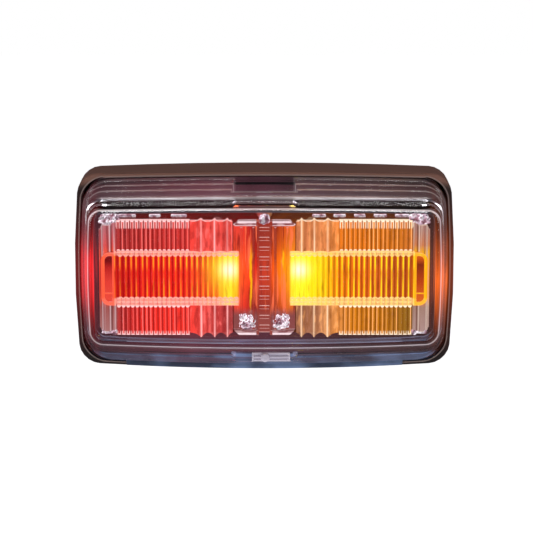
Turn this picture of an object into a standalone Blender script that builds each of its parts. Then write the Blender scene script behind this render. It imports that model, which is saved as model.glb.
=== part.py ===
"""Snap-in LED side marker lamp, half red and half amber, in its black deflector base.

Metres, +Z up. The lamp faces -Y. The origin is the middle of the back face that goes on the vehicle.
"""

import math

import bmesh
import bpy

MM = 0.001

# Crown of every nested outline: how far the long and the short sides bulge, as a share of the half size.
CROWN_LONG = 0.044
CROWN_SHORT = 0.026
# Bow: how far the middle of the lamp's front stands forward of its ends, and where along Y the bow starts and is full.
BOW, BOW_START, BOW_FULL = 2.5, -8.0, -19.0
GAP = 0.3

# Deflector base
BASE_HALF_W, BASE_HALF_H, BASE_R = 55.0, 28.9, 5.6
GASKET_T = 1.5
BASE_BACK = -(GASKET_T + GAP)
FLOOR_T = 2.0
RIM_Y = -19.0
HOOD_Y = -20.8
HOOD_HALF_W = 47.0
SCREW_X, SCREW_R = 38.0, 2.3
CABLE_Z = -8.0
LOW_EDGE_HALF_W = 41.0
LOW_EDGE_Y = -14.8

# Clear cover
LENS_HALF_W, LENS_HALF_H, LENS_R = 52.8, 27.3, 6.2
LENS_BACK = -15.0
FACE_Y, FACE_BOW = -31.0, 0.6
FACE_INNER_Y = -29.5
NOTCH_HALF_W = 9.0

# Lamp tray and board
TRAY_HALF_W, TRAY_HALF_H, TRAY_R = 52.4, 26.9, 6.0
TRAY_BACK, TRAY_FRONT, TRAY_WALL = -7.0, -13.4, 1.6
BOARD_HALF_W, BOARD_HALF_H = 46.6, 20.6
BOARD_BACK, BOARD_FRONT = -12.4, -14.0
BOARD_SCREW_Z = 16.0
LED_X, LED_Z = 9.6, -1.0

# Inner optics, for the right-hand side and mirrored for the left
RIB_PITCH, BAR_PITCH, RIB_DEPTH = 1.30, 1.56, 0.42
OPTIC_BACK, OPTIC_FACE, OPTIC_SLOT = -24.4, -27.5, -25.6
OPTIC_LOW, OPTIC_HIGH = -17.4, 15.5
LOBE_OUT, LOBE_IN = 46.9, 42.4
RIBS_OUT, RIBS_IN = 42.2, 21.1
PLEATS_IN, PLEATS = 9.1, 3
BAR_OUT, BAR_IN = 46.2, 7.2
BAR_LOW, BAR_HIGH = -8.7, 6.6
BAR_BACK, BAR_FACE = -25.9, -28.9


def material(name, color, roughness, metallic=0.0, transmission=0.0, glow=None, alpha=1.0):
    """One Principled material. A glow is a colour and a strength."""
    made = bpy.data.materials.get(name)
    if made:
        return made
    made = bpy.data.materials.new(name)
    made.use_nodes = True
    shader = made.node_tree.nodes["Principled BSDF"]
    shader.inputs["Base Color"].default_value = (*color, 1.0)
    shader.inputs["Roughness"].default_value = roughness
    shader.inputs["Metallic"].default_value = metallic
    shader.inputs["Transmission Weight"].default_value = transmission
    shader.inputs["Alpha"].default_value = alpha
    if glow:
        shader.inputs["Emission Color"].default_value = (*glow[0], 1.0)
        shader.inputs["Emission Strength"].default_value = glow[1]
    made.diffuse_color = (*color, alpha)
    return made


def shaped(x, y, z, bowed=True):
    """Moves a point of a square layout to the barrel layout, bowed forward in the middle, that the shells share."""
    across, up = x / BASE_HALF_W, z / BASE_HALF_H
    share = min(1.0, max(0.0, (y - BOW_START) / (BOW_FULL - BOW_START))) if bowed else 0.0
    return (
        x * (1 - CROWN_SHORT * up * up),
        y - BOW * share * (1 - across * across),
        z * (1 - CROWN_LONG * across * across),
    )


def outline(half_w, half_h, radius, arc_steps=5, long_steps=7, short_steps=3):
    """A rounded rectangle as (x, z) points in order, with its sides cut so that they can follow the crown."""
    corners = ((1, 1, 0), (-1, 1, 90), (-1, -1, 180), (1, -1, 270))
    points = []
    for index, (sx, sz, start) in enumerate(corners):
        for step in range(arc_steps + 1):
            angle = math.radians(start + 90 * step / arc_steps)
            points.append((
                sx * (half_w - radius) + radius * math.cos(angle),
                sz * (half_h - radius) + radius * math.sin(angle),
            ))
        here = points[-1]
        nx, nz, turn = corners[(index + 1) % 4]
        there = (
            nx * (half_w - radius) + radius * math.cos(math.radians(turn)),
            nz * (half_h - radius) + radius * math.sin(math.radians(turn)),
        )
        steps = long_steps if index % 2 == 0 else short_steps
        for step in range(1, steps):
            share = step / steps
            points.append((
                here[0] + (there[0] - here[0]) * share,
                here[1] + (there[1] - here[1]) * share,
            ))
    return points


def finish(name, bm, mat=None, smooth=None):
    """Closes a bmesh off as an object in the scene."""
    bmesh.ops.remove_doubles(bm, verts=bm.verts, dist=1e-6)
    bmesh.ops.recalc_face_normals(bm, faces=bm.faces)
    mesh = bpy.data.meshes.new(name)
    bm.to_mesh(mesh)
    bm.free()
    made = bpy.data.objects.new(name, mesh)
    bpy.context.scene.collection.objects.link(made)
    if mat:
        mesh.materials.append(mat)
    if smooth:
        mesh.shade_smooth()
        mesh.set_sharp_from_angle(angle=math.radians(smooth))
    return made


def loft(name, rings, mat=None, ring_shaped=False, bowed=False, smooth=30, **steps):
    """A skin over (y, half_w, half_h, radius) rings. Its ends are capped, or joined when it's ring_shaped."""
    bm = bmesh.new()
    loops = []
    for y, half_w, half_h, radius in rings:
        points = outline(half_w, half_h, radius, **steps)
        loops.append([bm.verts.new([c * MM for c in shaped(x, y, z, bowed)]) for x, z in points])
    count = len(loops[0])
    pairs = list(zip(loops, loops[1:]))
    if ring_shaped:
        pairs.append((loops[-1], loops[0]))
    else:
        bm.faces.new(loops[0])
        bm.faces.new(loops[-1])
    for first, second in pairs:
        for i in range(count):
            j = (i + 1) % count
            bm.faces.new((first[i], first[j], second[j], second[i]))
    return finish(name, bm, mat, smooth)


def block(name, x, y, z, mat=None, steps=1, shell=False, bevel=0.0):
    """A box from three (low, high) pairs, cut into steps along X so that it can follow the shells' shape."""
    bm = bmesh.new()
    loops = []
    for step in range(steps + 1):
        at = x[0] + (x[1] - x[0]) * step / steps
        loop = []
        for py, pz in ((y[0], z[0]), (y[1], z[0]), (y[1], z[1]), (y[0], z[1])):
            point = shaped(at, py, pz) if shell else (at, py, pz)
            loop.append(bm.verts.new([c * MM for c in point]))
        loops.append(loop)
    bm.faces.new(loops[0])
    bm.faces.new(loops[-1])
    for first, second in zip(loops, loops[1:]):
        for i in range(4):
            j = (i + 1) % 4
            bm.faces.new((first[i], first[j], second[j], second[i]))
    if bevel:
        bmesh.ops.bevel(bm, geom=bm.edges[:], offset=bevel * MM, segments=1, affect="EDGES")
    return finish(name, bm, mat)


def turned(name, profile, x, z, mat=None, sides=20, ring_shaped=False, smooth=30):
    """A round piece about an axis along Y, from (radius, y) points. Radius 0 closes an end."""
    bm = bmesh.new()
    loops = []
    for radius, y in profile:
        if radius == 0:
            loops.append([bm.verts.new((x * MM, y * MM, z * MM))])
            continue
        loops.append([
            bm.verts.new((
                (x + radius * math.cos(math.tau * i / sides)) * MM,
                y * MM,
                (z + radius * math.sin(math.tau * i / sides)) * MM,
            ))
            for i in range(sides)
        ])
    pairs = list(zip(loops, loops[1:]))
    if ring_shaped:
        pairs.append((loops[-1], loops[0]))
    for first, second in pairs:
        for i in range(sides):
            j = (i + 1) % sides
            corners = [first[i % len(first)], first[j % len(first)], second[j % len(second)], second[i % len(second)]]
            bm.faces.new(list(dict.fromkeys(corners)))
    return finish(name, bm, mat, smooth)


def relief(name, columns, rows, back, mat, smooth=40):
    """A slab with a worked front: each row gives (z, y) over the columns' x, and the back is flat."""
    bm = bmesh.new()
    grid = [[bm.verts.new((x * MM, row(x)[1] * MM, row(x)[0] * MM)) for x in columns] for row in rows]
    for low, high in zip(grid, grid[1:]):
        for i in range(len(columns) - 1):
            bm.faces.new((low[i], low[i + 1], high[i + 1], high[i]))
    low_z, high_z = rows[0], rows[-1]
    ends = []
    for i in (0, -1):
        x = columns[i]
        ends.append([bm.verts.new((x * MM, back * MM, row(x)[0] * MM)) for row in (low_z, high_z)])
    (left_low, left_high), (right_low, right_high) = ends
    bm.faces.new((left_low, left_high, right_high, right_low))
    bm.faces.new(grid[0] + [right_low, left_low])
    bm.faces.new(grid[-1] + [right_high, left_high])
    bm.faces.new([row[0] for row in grid] + [left_high, left_low])
    bm.faces.new([row[-1] for row in grid] + [right_high, right_low])
    return finish(name, bm, mat, smooth)


def combine(target, tool, operation, solver="EXACT"):
    """Adds or takes away a helper shape, which then stays hidden."""
    step = target.modifiers.new(f"{operation.lower()}_{tool.name}", "BOOLEAN")
    step.operation = operation
    step.object = tool
    step.solver = solver
    tool.hide_render = True
    tool.display_type = "WIRE"


def cut(target, tool, solver="EXACT"):
    combine(target, tool, "DIFFERENCE", solver)


def add(target, tool, solver="EXACT"):
    combine(target, tool, "UNION", solver)


def deflector_base(black):
    back, floor, rim = BASE_BACK, BASE_BACK - FLOOR_T, RIM_Y
    inner_w, inner_h = LENS_HALF_W + GAP, LENS_HALF_H + GAP
    base = loft("deflector_base", [
        (back, 54.2, 28.1, BASE_R),
        (back - 0.8, BASE_HALF_W, BASE_HALF_H, BASE_R),
        (rim + 0.5, BASE_HALF_W - 0.4, BASE_HALF_H - 0.1, BASE_R),
        (rim, BASE_HALF_W - 0.8, BASE_HALF_H - 0.45, BASE_R - 0.3),
        (rim, inner_w + 0.15, inner_h + 0.1, LENS_R + 0.4),
        (rim + 0.4, inner_w, inner_h, LENS_R + 0.3),
        (floor, inner_w - 0.1, inner_h - 0.1, LENS_R + 0.3),
    ], black, bowed=True)
    hood = block("hood_lip", (-HOOD_HALF_W, HOOD_HALF_W), (HOOD_Y, rim + 1.0), (27.7, 28.65), steps=10, shell=True)
    add(base, hood)
    low_cut = block("low_edge_cut", (-LOW_EDGE_HALF_W, LOW_EDGE_HALF_W), (HOOD_Y - 3, LOW_EDGE_Y),
                    (-32.0, -26.1), steps=10, shell=True)
    cut(base, low_cut)
    for side in (-1, 1):
        boss = turned(f"screw_boss_{side}", [(0, floor + 0.5), (5.0, floor + 0.5), (4.6, floor - 0.8), (0, floor - 0.8)],
                      side * SCREW_X, 0, sides=20)
        add(base, boss)
        for height in (-1, 1):
            pad = block(f"seat_pad_{side}_{height}", (side * 24 - 3, side * 24 + 3), (TRAY_BACK + GAP, floor + 0.5),
                        (height * 20 - 2, height * 20 + 2))
            add(base, pad)
    for side in (-1, 1):
        hole = turned(f"screw_hole_{side}", [(0, 1), (SCREW_R, 1), (SCREW_R, -6), (0, -6)], side * SCREW_X, 0, sides=16)
        cut(base, hole)
    inlet = turned("cable_hole", [(0, 1), (5.5, 1), (5.5, -6), (0, -6)], 0, CABLE_Z, sides=24)
    cut(base, inlet)


def base_gasket(rubber):
    gasket = loft("base_gasket", [
        (0.0, 53.6, 27.5, BASE_R),
        (-GASKET_T, 53.6, 27.5, BASE_R),
    ], rubber)
    for side in (-1, 1):
        hole = turned(f"gasket_hole_{side}", [(0, 1), (2.6, 1), (2.6, -4), (0, -4)], side * SCREW_X, 0, sides=16)
        cut(gasket, hole)
    inlet = turned("gasket_inlet", [(0, 1), (6.0, 1), (6.0, -4), (0, -4)], 0, CABLE_Z, sides=24)
    cut(gasket, inlet)


def cable_grommet(rubber):
    floor = BASE_BACK - FLOOR_T
    turned("cable_grommet", [
        (2.6, BASE_BACK + 0.8), (5.1, BASE_BACK + 0.8), (5.1, floor - GAP), (7.0, floor - GAP),
        (7.0, floor - 1.2), (6.4, floor - 1.7), (2.6, floor - 1.7),
    ], 0, CABLE_Z, rubber, sides=24, ring_shaped=True)


def lamp_housing(black):
    inner_w, inner_h = TRAY_HALF_W - TRAY_WALL, TRAY_HALF_H - TRAY_WALL
    inner_floor = TRAY_BACK - TRAY_WALL
    tray = loft("lamp_housing", [
        (TRAY_BACK, TRAY_HALF_W - 1.2, TRAY_HALF_H - 1.2, TRAY_R - 1),
        (TRAY_BACK - 1.0, TRAY_HALF_W, TRAY_HALF_H, TRAY_R),
        (TRAY_FRONT, TRAY_HALF_W, TRAY_HALF_H, TRAY_R),
        (TRAY_FRONT, inner_w, inner_h, TRAY_R - 1.5),
        (inner_floor, inner_w, inner_h, TRAY_R - 1.5),
    ], black, bowed=True)
    for height in (-1, 1):
        post = turned(f"board_post_{height}", [
            (0, inner_floor + 0.5), (2.6, inner_floor + 0.5), (2.6, BOARD_BACK + GAP), (0, BOARD_BACK + GAP),
        ], 0, height * BOARD_SCREW_Z, sides=16)
        add(tray, post, "MANIFOLD")
        pilot = turned(f"post_pilot_{height}", [(0, -10.0), (1.2, -10.0), (1.2, -14), (0, -14)],
                       0, height * BOARD_SCREW_Z, sides=12)
        cut(tray, pilot, "MANIFOLD")
        for side in (-1, 1):
            rest = turned(f"board_rest_{side}_{height}", [
                (0, inner_floor + 0.5), (2.2, inner_floor + 0.5), (2.0, BOARD_BACK + GAP), (0, BOARD_BACK + GAP),
            ], side * 42.0, height * 17.0, sides=12)
            add(tray, rest, "MANIFOLD")
    hole = turned("housing_inlet", [(0, -5), (3.3, -5), (3.3, -10), (0, -10)], 0, CABLE_Z, sides=20)
    cut(tray, hole, "MANIFOLD")


def cable_bush(rubber):
    inner_floor = TRAY_BACK - TRAY_WALL
    turned("cable_bush", [
        (1.7, TRAY_BACK + 0.9), (2.5, TRAY_BACK + 0.9), (3.0, TRAY_BACK - 0.2), (3.0, inner_floor - GAP),
        (4.6, inner_floor - GAP), (4.6, inner_floor - 1.5), (1.7, inner_floor - 1.5),
    ], 0, CABLE_Z, rubber, sides=20, ring_shaped=True)


def potting(resin):
    top, bottom = -10.6, TRAY_BACK - TRAY_WALL - GAP
    slab = loft("potting", [(bottom, 50.4, 24.3, 4.4), (top, 50.4, 24.3, 4.4)], resin)
    for height in (-1, 1):
        hole = turned(f"potting_post_hole_{height}", [(0, -8), (2.9, -8), (2.9, -12), (0, -12)],
                      0, height * BOARD_SCREW_Z, sides=16)
        cut(slab, hole)
        for side in (-1, 1):
            rest = turned(f"potting_rest_hole_{side}_{height}", [(0, -8), (2.6, -8), (2.6, -12), (0, -12)],
                          side * 42.0, height * 17.0, sides=12)
            cut(slab, rest)
    inlet = turned("potting_inlet", [(0, -8), (4.9, -8), (4.9, -12), (0, -12)], 0, CABLE_Z, sides=20)
    cut(slab, inlet)


def circuit_board(laminate):
    board = loft("circuit_board", [
        (BOARD_BACK, BOARD_HALF_W, BOARD_HALF_H, 3.0), (BOARD_FRONT, BOARD_HALF_W, BOARD_HALF_H, 3.0),
    ], laminate, arc_steps=4, long_steps=4, short_steps=2)
    for height in (-1, 1):
        hole = turned(f"board_hole_{height}", [(0, -11), (1.6, -11), (1.6, -16), (0, -16)],
                      0, height * BOARD_SCREW_Z, sides=12)
        cut(board, hole)


def board_screws(steel):
    for name, height in (("board_screw_top", 1), ("board_screw_bottom", -1)):
        turned(name, [
            (0, -10.3), (0.9, -10.3), (0.9, BOARD_FRONT - GAP), (2.5, BOARD_FRONT - GAP),
            (2.4, BOARD_FRONT - 1.1), (1.5, BOARD_FRONT - 1.7), (0, BOARD_FRONT - 1.8),
        ], 0, height * BOARD_SCREW_Z, steel, sides=12)


def leds(red, amber):
    """Each lamp chip is a square package with a clear dome on its front."""
    seat = BOARD_FRONT - GAP
    for name, side, mat in (("led_red", -1, red), ("led_amber", 1, amber)):
        x = side * LED_X
        body = block(name, (x - 1.9, x + 1.9), (seat - 1.5, seat), (LED_Z - 1.9, LED_Z + 1.9), mat, bevel=0.25)
        dome = turned(f"{name}_dome", [
            (0, seat - 1.0), (1.6, seat - 1.0), (1.6, seat - 2.0), (1.35, seat - 2.8), (0.8, seat - 3.3), (0, seat - 3.5),
        ], x, LED_Z, sides=16)
        add(body, dome)


def board_parts(dark, ceramic, tantalum, tin):
    seat = BOARD_FRONT - GAP
    for name, x, z, half_w, half_h, tall, mat in (
        ("driver_chip", 20.5, 10.5, 2.6, 2.0, 1.6, dark),
        ("rectifier", -20.5, 10.5, 2.4, 2.0, 1.4, dark),
        ("resistor_1", -24.0, -12.5, 1.6, 0.8, 0.7, ceramic),
        ("resistor_2", -29.5, -12.5, 1.6, 0.8, 0.7, ceramic),
        ("resistor_3", 24.0, -12.5, 1.6, 0.8, 0.7, ceramic),
        ("resistor_4", 29.5, -12.5, 1.6, 0.8, 0.7, ceramic),
        ("capacitor", 0.0, 10.0, 1.8, 1.4, 2.0, tantalum),
        ("terminal_left", -4.4, -13.8, 1.8, 2.4, 2.4, tin),
        ("terminal_right", 4.4, -13.8, 1.8, 2.4, 2.4, tin),
    ):
        block(name, (x - half_w, x + half_w), (seat - tall, seat), (z - half_h, z + half_h), mat, bevel=0.2)


def inner_bezel(satin):
    """The dark frame that hides the edge of the board behind the optics."""
    loft("inner_bezel", [
        (BOARD_FRONT - GAP, 50.6, 24.3, 4.4), (BOARD_FRONT - 2.2, 50.6, 24.3, 4.4),
        (BOARD_FRONT - 2.2, 45.8, 20.2, 2.5), (BOARD_FRONT - GAP, 44.8, 19.2, 2.5),
    ], satin, ring_shaped=True, arc_steps=4, long_steps=4, short_steps=2)


def optic_columns():
    """(x, depth) over the front of an optic: the round end lobe, the fine ribs, then the wide pleats."""
    points = []
    middle, half = (LOBE_OUT + LOBE_IN) / 2, (LOBE_OUT - LOBE_IN) / 2
    for step in range(7):
        angle = math.pi * step / 6
        points.append((middle + half * math.cos(angle), 1.6 * math.sin(angle) - 0.9))
    ribs = round((RIBS_OUT - RIBS_IN) / RIB_PITCH)
    pitch = (RIBS_OUT - RIBS_IN) / ribs
    for step in range(4 * ribs + 1):
        points.append((RIBS_OUT - step * pitch / 4, RIB_DEPTH * math.sin(math.pi * (step % 4) / 4)))
    width = (RIBS_IN - 0.2 - PLEATS_IN) / PLEATS
    for pleat in range(PLEATS):
        for step in range(5):
            if pleat and not step:
                continue
            angle = math.pi * step / 4
            points.append((RIBS_IN - 0.2 - width * (pleat + step / 4), 1.1 * math.sin(angle) - 0.2))
    return points


def rib_optics(clear):
    """The clear mouldings behind the window, with a slot across the middle for the light bar."""
    points = optic_columns()
    for name, side in (("rib_optic_left", -1), ("rib_optic_right", 1)):
        depth = {side * x: d for x, d in points}
        columns = sorted(depth)
        worked = lambda z: lambda x: (z, OPTIC_FACE - depth[x])
        flat = lambda z, y: lambda x: (z, y)
        slot_low, slot_high = BAR_LOW - GAP, BAR_HIGH + GAP
        optic = relief(name, columns, [
            flat(OPTIC_LOW, OPTIC_SLOT), worked(OPTIC_LOW + 1.2), worked(slot_low), flat(slot_low, OPTIC_SLOT),
            flat(slot_high, OPTIC_SLOT), worked(slot_high), worked(OPTIC_HIGH - 1.2), flat(OPTIC_HIGH, OPTIC_SLOT),
        ], OPTIC_BACK, clear)
        for x, z in ((42.4, 12.5), (42.4, -13.5), (13.5, 13.0), (13.5, -14.5)):
            leg = turned(f"{name}_leg_{x}_{z}", [
                (0, OPTIC_BACK - 0.5), (1.3, OPTIC_BACK - 0.5), (1.5, BOARD_FRONT - GAP), (0, BOARD_FRONT - GAP),
            ], side * x, z, sides=10)
            add(optic, leg)


def light_bars(clear):
    """The ribbed bars that carry the light of each lamp chip outwards, with a rounded outer end."""
    ribs = round((BAR_OUT - BAR_IN) / BAR_PITCH)
    pitch = (BAR_OUT - BAR_IN) / ribs
    reach = 3.2
    for name, side in (("light_bar_left", -1), ("light_bar_right", 1)):
        depth = {side * (BAR_IN + step * pitch / 4): RIB_DEPTH * math.sin(math.pi * (step % 4) / 4)
                 for step in range(4 * ribs + 1)}

        def inset(x):
            beyond = max(0.0, abs(x) - (BAR_OUT - reach)) / reach
            return reach * (1 - math.sqrt(max(0.0, 1 - min(beyond, 0.97) ** 2)))

        rows = [
            lambda x: (BAR_LOW + inset(x), BAR_BACK - 1.0),
            lambda x: (BAR_LOW + inset(x) + 0.8, BAR_FACE - depth[x]),
            lambda x: (BAR_HIGH - inset(x) - 0.8, BAR_FACE - depth[x]),
            lambda x: (BAR_HIGH - inset(x), BAR_BACK - 1.0),
        ]
        bar_relief(name, sorted(depth), rows, clear)


def bar_relief(name, columns, rows, mat):
    """A relief whose back follows the rounded end too."""
    bm = bmesh.new()
    grid = [[bm.verts.new((x * MM, row(x)[1] * MM, row(x)[0] * MM)) for x in columns] for row in rows]
    grid.append([bm.verts.new((x * MM, BAR_BACK * MM, rows[-1](x)[0] * MM)) for x in columns])
    grid.append([bm.verts.new((x * MM, BAR_BACK * MM, rows[0](x)[0] * MM)) for x in columns])
    for low, high in zip(grid, grid[1:] + grid[:1]):
        for i in range(len(columns) - 1):
            bm.faces.new((low[i], low[i + 1], high[i + 1], high[i]))
    bm.faces.new([row[0] for row in grid])
    bm.faces.new([row[-1] for row in grid])
    return finish(name, bm, mat, 40)


def centre_bridge(clear):
    """The clear moulding between the two halves: a top and a bottom ledge joined by a middle column."""
    column = block("centre_bridge", (-2.1, 2.1), (-28.6, -26.0), (-16.8, 14.4), clear, bevel=0.2)
    for index, (low, high) in enumerate(((12.6, 14.6), (-17.6, -15.8))):
        ledge = block(f"bridge_ledge_{index}", (-8.6, 8.6), (-28.0, -24.4), (low, high), bevel=0.2)
        add(column, ledge)
        for side in (-1, 1):
            leg = turned(f"bridge_leg_{index}_{side}", [
                (0, -24.9), (0.9, -24.9), (1.1, BOARD_FRONT - GAP), (0, BOARD_FRONT - GAP),
            ], side * 7.5, (low + high) / 2, sides=8)
            add(column, leg)
    for side in (-1, 1):
        rail = block(f"bridge_rail_{side}", (side * 5.2 - 0.7, side * 5.2 + 0.7), (-27.6, -26.0), (-16.8, 14.0))
        add(column, rail)


def lens_seal(resin):
    loft("lens_seal", [
        (TRAY_FRONT - GAP, 52.3, 26.8, 6.0), (LENS_BACK + GAP, 52.3, 26.8, 6.0),
        (LENS_BACK + GAP, 51.4, 25.8, 5.0), (TRAY_FRONT - GAP, 51.4, 25.8, 5.0),
    ], resin, ring_shaped=True, bowed=True)


def outer_lens(clear):
    lens = loft("outer_lens", [
        (FACE_Y - FACE_BOW, 14.0, 6.0, 1.0),
        (FACE_Y - FACE_BOW * 0.55, 33.0, 13.5, 2.0),
        (FACE_Y, 49.0, 19.4, 3.0),
        (FACE_Y + 0.25, 49.7, 20.1, 3.4),
        (FACE_Y + 1.0, 50.2, 20.6, 3.6),
        (-23.4, 51.0, 21.6, 4.2),
        (-22.6, 51.3, 22.2, 4.5),
        (-22.3, 51.5, 23.8, 4.9),
        (-21.5, 51.6, 24.0, 5.0),
        (-21.3, 51.9, 25.1, 5.3),
        (-20.5, 52.0, 25.4, 5.4),
        (-20.3, 52.4, 26.5, 5.8),
        (-19.5, 52.7, 27.1, 6.1),
        (-19.0, LENS_HALF_W, LENS_HALF_H, LENS_R),
        (LENS_BACK, LENS_HALF_W, LENS_HALF_H, LENS_R),
        (LENS_BACK, 51.1, 25.5, 4.8),
        (-17.8, 51.1, 25.5, 4.8),
        (-18.2, 49.4, 20.1, 3.2),
        (-29.0, 48.6, 19.1, 2.6),
        (FACE_INNER_Y, 48.0, 18.5, 2.2),
        (FACE_INNER_Y - 0.3, 30.0, 12.0, 1.8),
    ], clear, bowed=True)
    lip = block("lens_lip", (-LOW_EDGE_HALF_W + 0.4, LOW_EDGE_HALF_W - 0.4), (RIM_Y - 0.3, LOW_EDGE_Y - 0.4),
                (-28.65, -26.5), steps=10, shell=True)
    add(lens, lip)
    top_notch = notch("top_notch", 23.0, 30.0, -21.8)
    cut(lens, top_notch)
    low_notch = notch("low_notch", -26.6, -22.2, -22.0)
    cut(lens, low_notch)


def notch(name, low, high, depth):
    """A recess with slanted ends, cut into the border of the cover from the front."""
    bm = bmesh.new()
    front = depth - 8
    loops = []
    for y, grow in ((depth, 0.0), (front, 3.2)):
        half = NOTCH_HALF_W - 0.8 + grow
        loops.append([bm.verts.new((x * MM, y * MM, z * MM)) for x, z in
                      ((-half, low), (half, low), (half, high), (-half, high))])
    bm.faces.new(loops[0])
    bm.faces.new(loops[1])
    for i in range(4):
        j = (i + 1) % 4
        bm.faces.new((loops[0][i], loops[0][j], loops[1][j], loops[1][i]))
    return finish(name, bm)


def release_catch(clear):
    """The small clear catch in the lower recess that a screwdriver lifts to free the lamp."""
    bar = block("release_catch", (-3.6, 7.4), (-23.7, -22.3), (-25.9, -23.3), clear, bevel=0.2)
    knob = turned("catch_knob", [(0, -22.6), (1.3, -22.6), (1.3, -23.9), (0.8, -24.3), (0, -24.4)], 0.2, -24.6, sides=14)
    add(bar, knob)


def main():
    for leftover in list(bpy.data.objects):
        bpy.data.objects.remove(leftover, do_unlink=True)
    black = material("black_plastic", (0.030, 0.026, 0.025), 0.42)
    rubber = material("black_rubber", (0.020, 0.020, 0.021), 0.75)
    resin = material("dark_resin", (0.035, 0.032, 0.034), 0.35)
    clear = material("clear_polycarbonate", (0.92, 0.90, 0.93), 0.06, transmission=0.9, alpha=0.35)
    optic = material("clear_optic", (0.95, 0.90, 0.88), 0.08, transmission=0.9, alpha=0.45)
    laminate = material("board_laminate", (0.10, 0.03, 0.02), 0.5)
    steel = material("zinc_steel", (0.62, 0.61, 0.58), 0.3, metallic=1.0)
    tin = material("tinned_metal", (0.75, 0.74, 0.72), 0.25, metallic=1.0)
    red = material("led_red", (0.9, 0.10, 0.04), 0.3, glow=((1.0, 0.12, 0.02), 6.0))
    amber = material("led_amber", (1.0, 0.55, 0.06), 0.3, glow=((1.0, 0.45, 0.02), 6.0))
    dark = material("chip_epoxy", (0.025, 0.025, 0.027), 0.45)
    ceramic = material("resistor_ceramic", (0.06, 0.06, 0.065), 0.4)
    tantalum = material("capacitor_body", (0.75, 0.48, 0.10), 0.4)
    satin = material("satin_black", (0.035, 0.025, 0.028), 0.35)
    base_gasket(rubber)
    deflector_base(black)
    cable_grommet(rubber)
    lamp_housing(black)
    cable_bush(rubber)
    potting(resin)
    circuit_board(laminate)
    board_screws(steel)
    leds(red, amber)
    board_parts(dark, ceramic, tantalum, tin)
    inner_bezel(satin)
    rib_optics(optic)
    light_bars(optic)
    centre_bridge(optic)
    lens_seal(resin)
    outer_lens(clear)
    release_catch(clear)


main()
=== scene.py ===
"""Clip-in LED marker lamp, half red and half amber, in a black deflector base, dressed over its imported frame."""

import math

import bmesh
import bpy
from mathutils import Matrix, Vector


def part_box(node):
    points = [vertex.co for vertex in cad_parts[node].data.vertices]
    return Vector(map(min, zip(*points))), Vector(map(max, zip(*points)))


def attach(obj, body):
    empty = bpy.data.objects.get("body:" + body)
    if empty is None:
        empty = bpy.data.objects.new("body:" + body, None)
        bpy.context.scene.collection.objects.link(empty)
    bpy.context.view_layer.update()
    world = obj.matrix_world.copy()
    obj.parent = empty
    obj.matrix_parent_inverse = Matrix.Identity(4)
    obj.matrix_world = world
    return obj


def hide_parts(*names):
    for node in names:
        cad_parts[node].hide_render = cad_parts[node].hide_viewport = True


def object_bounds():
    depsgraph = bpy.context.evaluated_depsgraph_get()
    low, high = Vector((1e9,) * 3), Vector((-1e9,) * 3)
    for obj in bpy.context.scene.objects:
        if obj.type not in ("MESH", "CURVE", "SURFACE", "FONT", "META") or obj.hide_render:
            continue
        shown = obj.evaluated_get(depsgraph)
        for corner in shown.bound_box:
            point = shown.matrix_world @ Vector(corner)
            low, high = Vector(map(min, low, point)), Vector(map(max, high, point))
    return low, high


bl_info = {
    "name": "LED Marker Lamp",
    "version": (1, 0, 0),
    "blender": (4, 5, 0),
    "location": "View3D > Sidebar > Marker Lamp",
    "description": "Models and finishes a clip-in LED marker lamp in its deflector base",
    "category": "Object",
}

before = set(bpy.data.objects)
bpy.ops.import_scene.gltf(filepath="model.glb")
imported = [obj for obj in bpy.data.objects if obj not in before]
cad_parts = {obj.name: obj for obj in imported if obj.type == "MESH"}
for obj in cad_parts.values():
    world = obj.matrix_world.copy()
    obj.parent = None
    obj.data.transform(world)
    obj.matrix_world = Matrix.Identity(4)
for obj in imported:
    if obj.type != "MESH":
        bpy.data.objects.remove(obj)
cad_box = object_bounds()
MM = 0.001

# The barrel shape and forward bow that the shells share, in millimetres.
HALF_W, HALF_H = 55.0, 28.9
CROWN_LONG, CROWN_SHORT = 0.044, 0.026
BOW, BOW_START, BOW_FULL = 2.5, -8.0, -19.0

# The optics' repeated parts, outwards from the middle: where they start, their spacing and how many there are.
BAR_START, BAR_PITCH, BAR_RIBS = 7.2, 1.56, 22
BAND_START, BAND_PITCH, BAND_RIBS = 7.25, 1.28, 27
RIB_START, RIB_PITCH, RIB_COUNT = 21.15, 1.30, 16

# How much of its spacing a rib fills, which leaves a fine groove between ribs.
RIB_FILL = 0.98

# The wide folds, as (inner edge, outer edge, crest), outwards from the middle.
PLEATS = ((9.05, 12.45, 10.5), (12.45, 16.15, 14.1), (16.15, 21.05, 17.9))

# Where the tabs above the ribs lie on each side, as (inner end, outer end).
TABS = {-1: ((22.0, 26.4), (29.4, 32.6), (36.4, 41.2)),
        1: ((13.6, 17.4), (19.6, 23.0), (25.4, 28.6), (31.0, 34.6), (37.0, 41.0))}

# The base's opening: how far its edges run straight from the middle, and its corner radius.
STRAIGHT_W, STRAIGHT_H, OPENING_RADIUS = 46.65, 21.10, 6.60

# Factors that scatter a crumpled piece's points the same way on each run: by point, by seed and overall.
SCATTER = (12.9898, 4.7, 43758.5453)

# The plain rungs up the middle column: how many, the lowest one's height and their spacing.
RUNGS, RUNG_START, RUNG_PITCH = 11, -14.8, 2.8

# Painted light: the browner, paler look of the base's black where it faces the light above.
HOOD_LIGHT_TINT = (0.185, 0.088, 0.064)

# Painted shade on the base's front rim, a painted highlight along the rim round its opening, and a painted shadow in
# the gap inside that.
FRONT_RIM_SHADE, RIM_HIGHLIGHT, GAP_SHADOW = (0.010, 0.008, 0.008), (0.27, 0.20, 0.185), (0.004, 0.003, 0.003)

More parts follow.
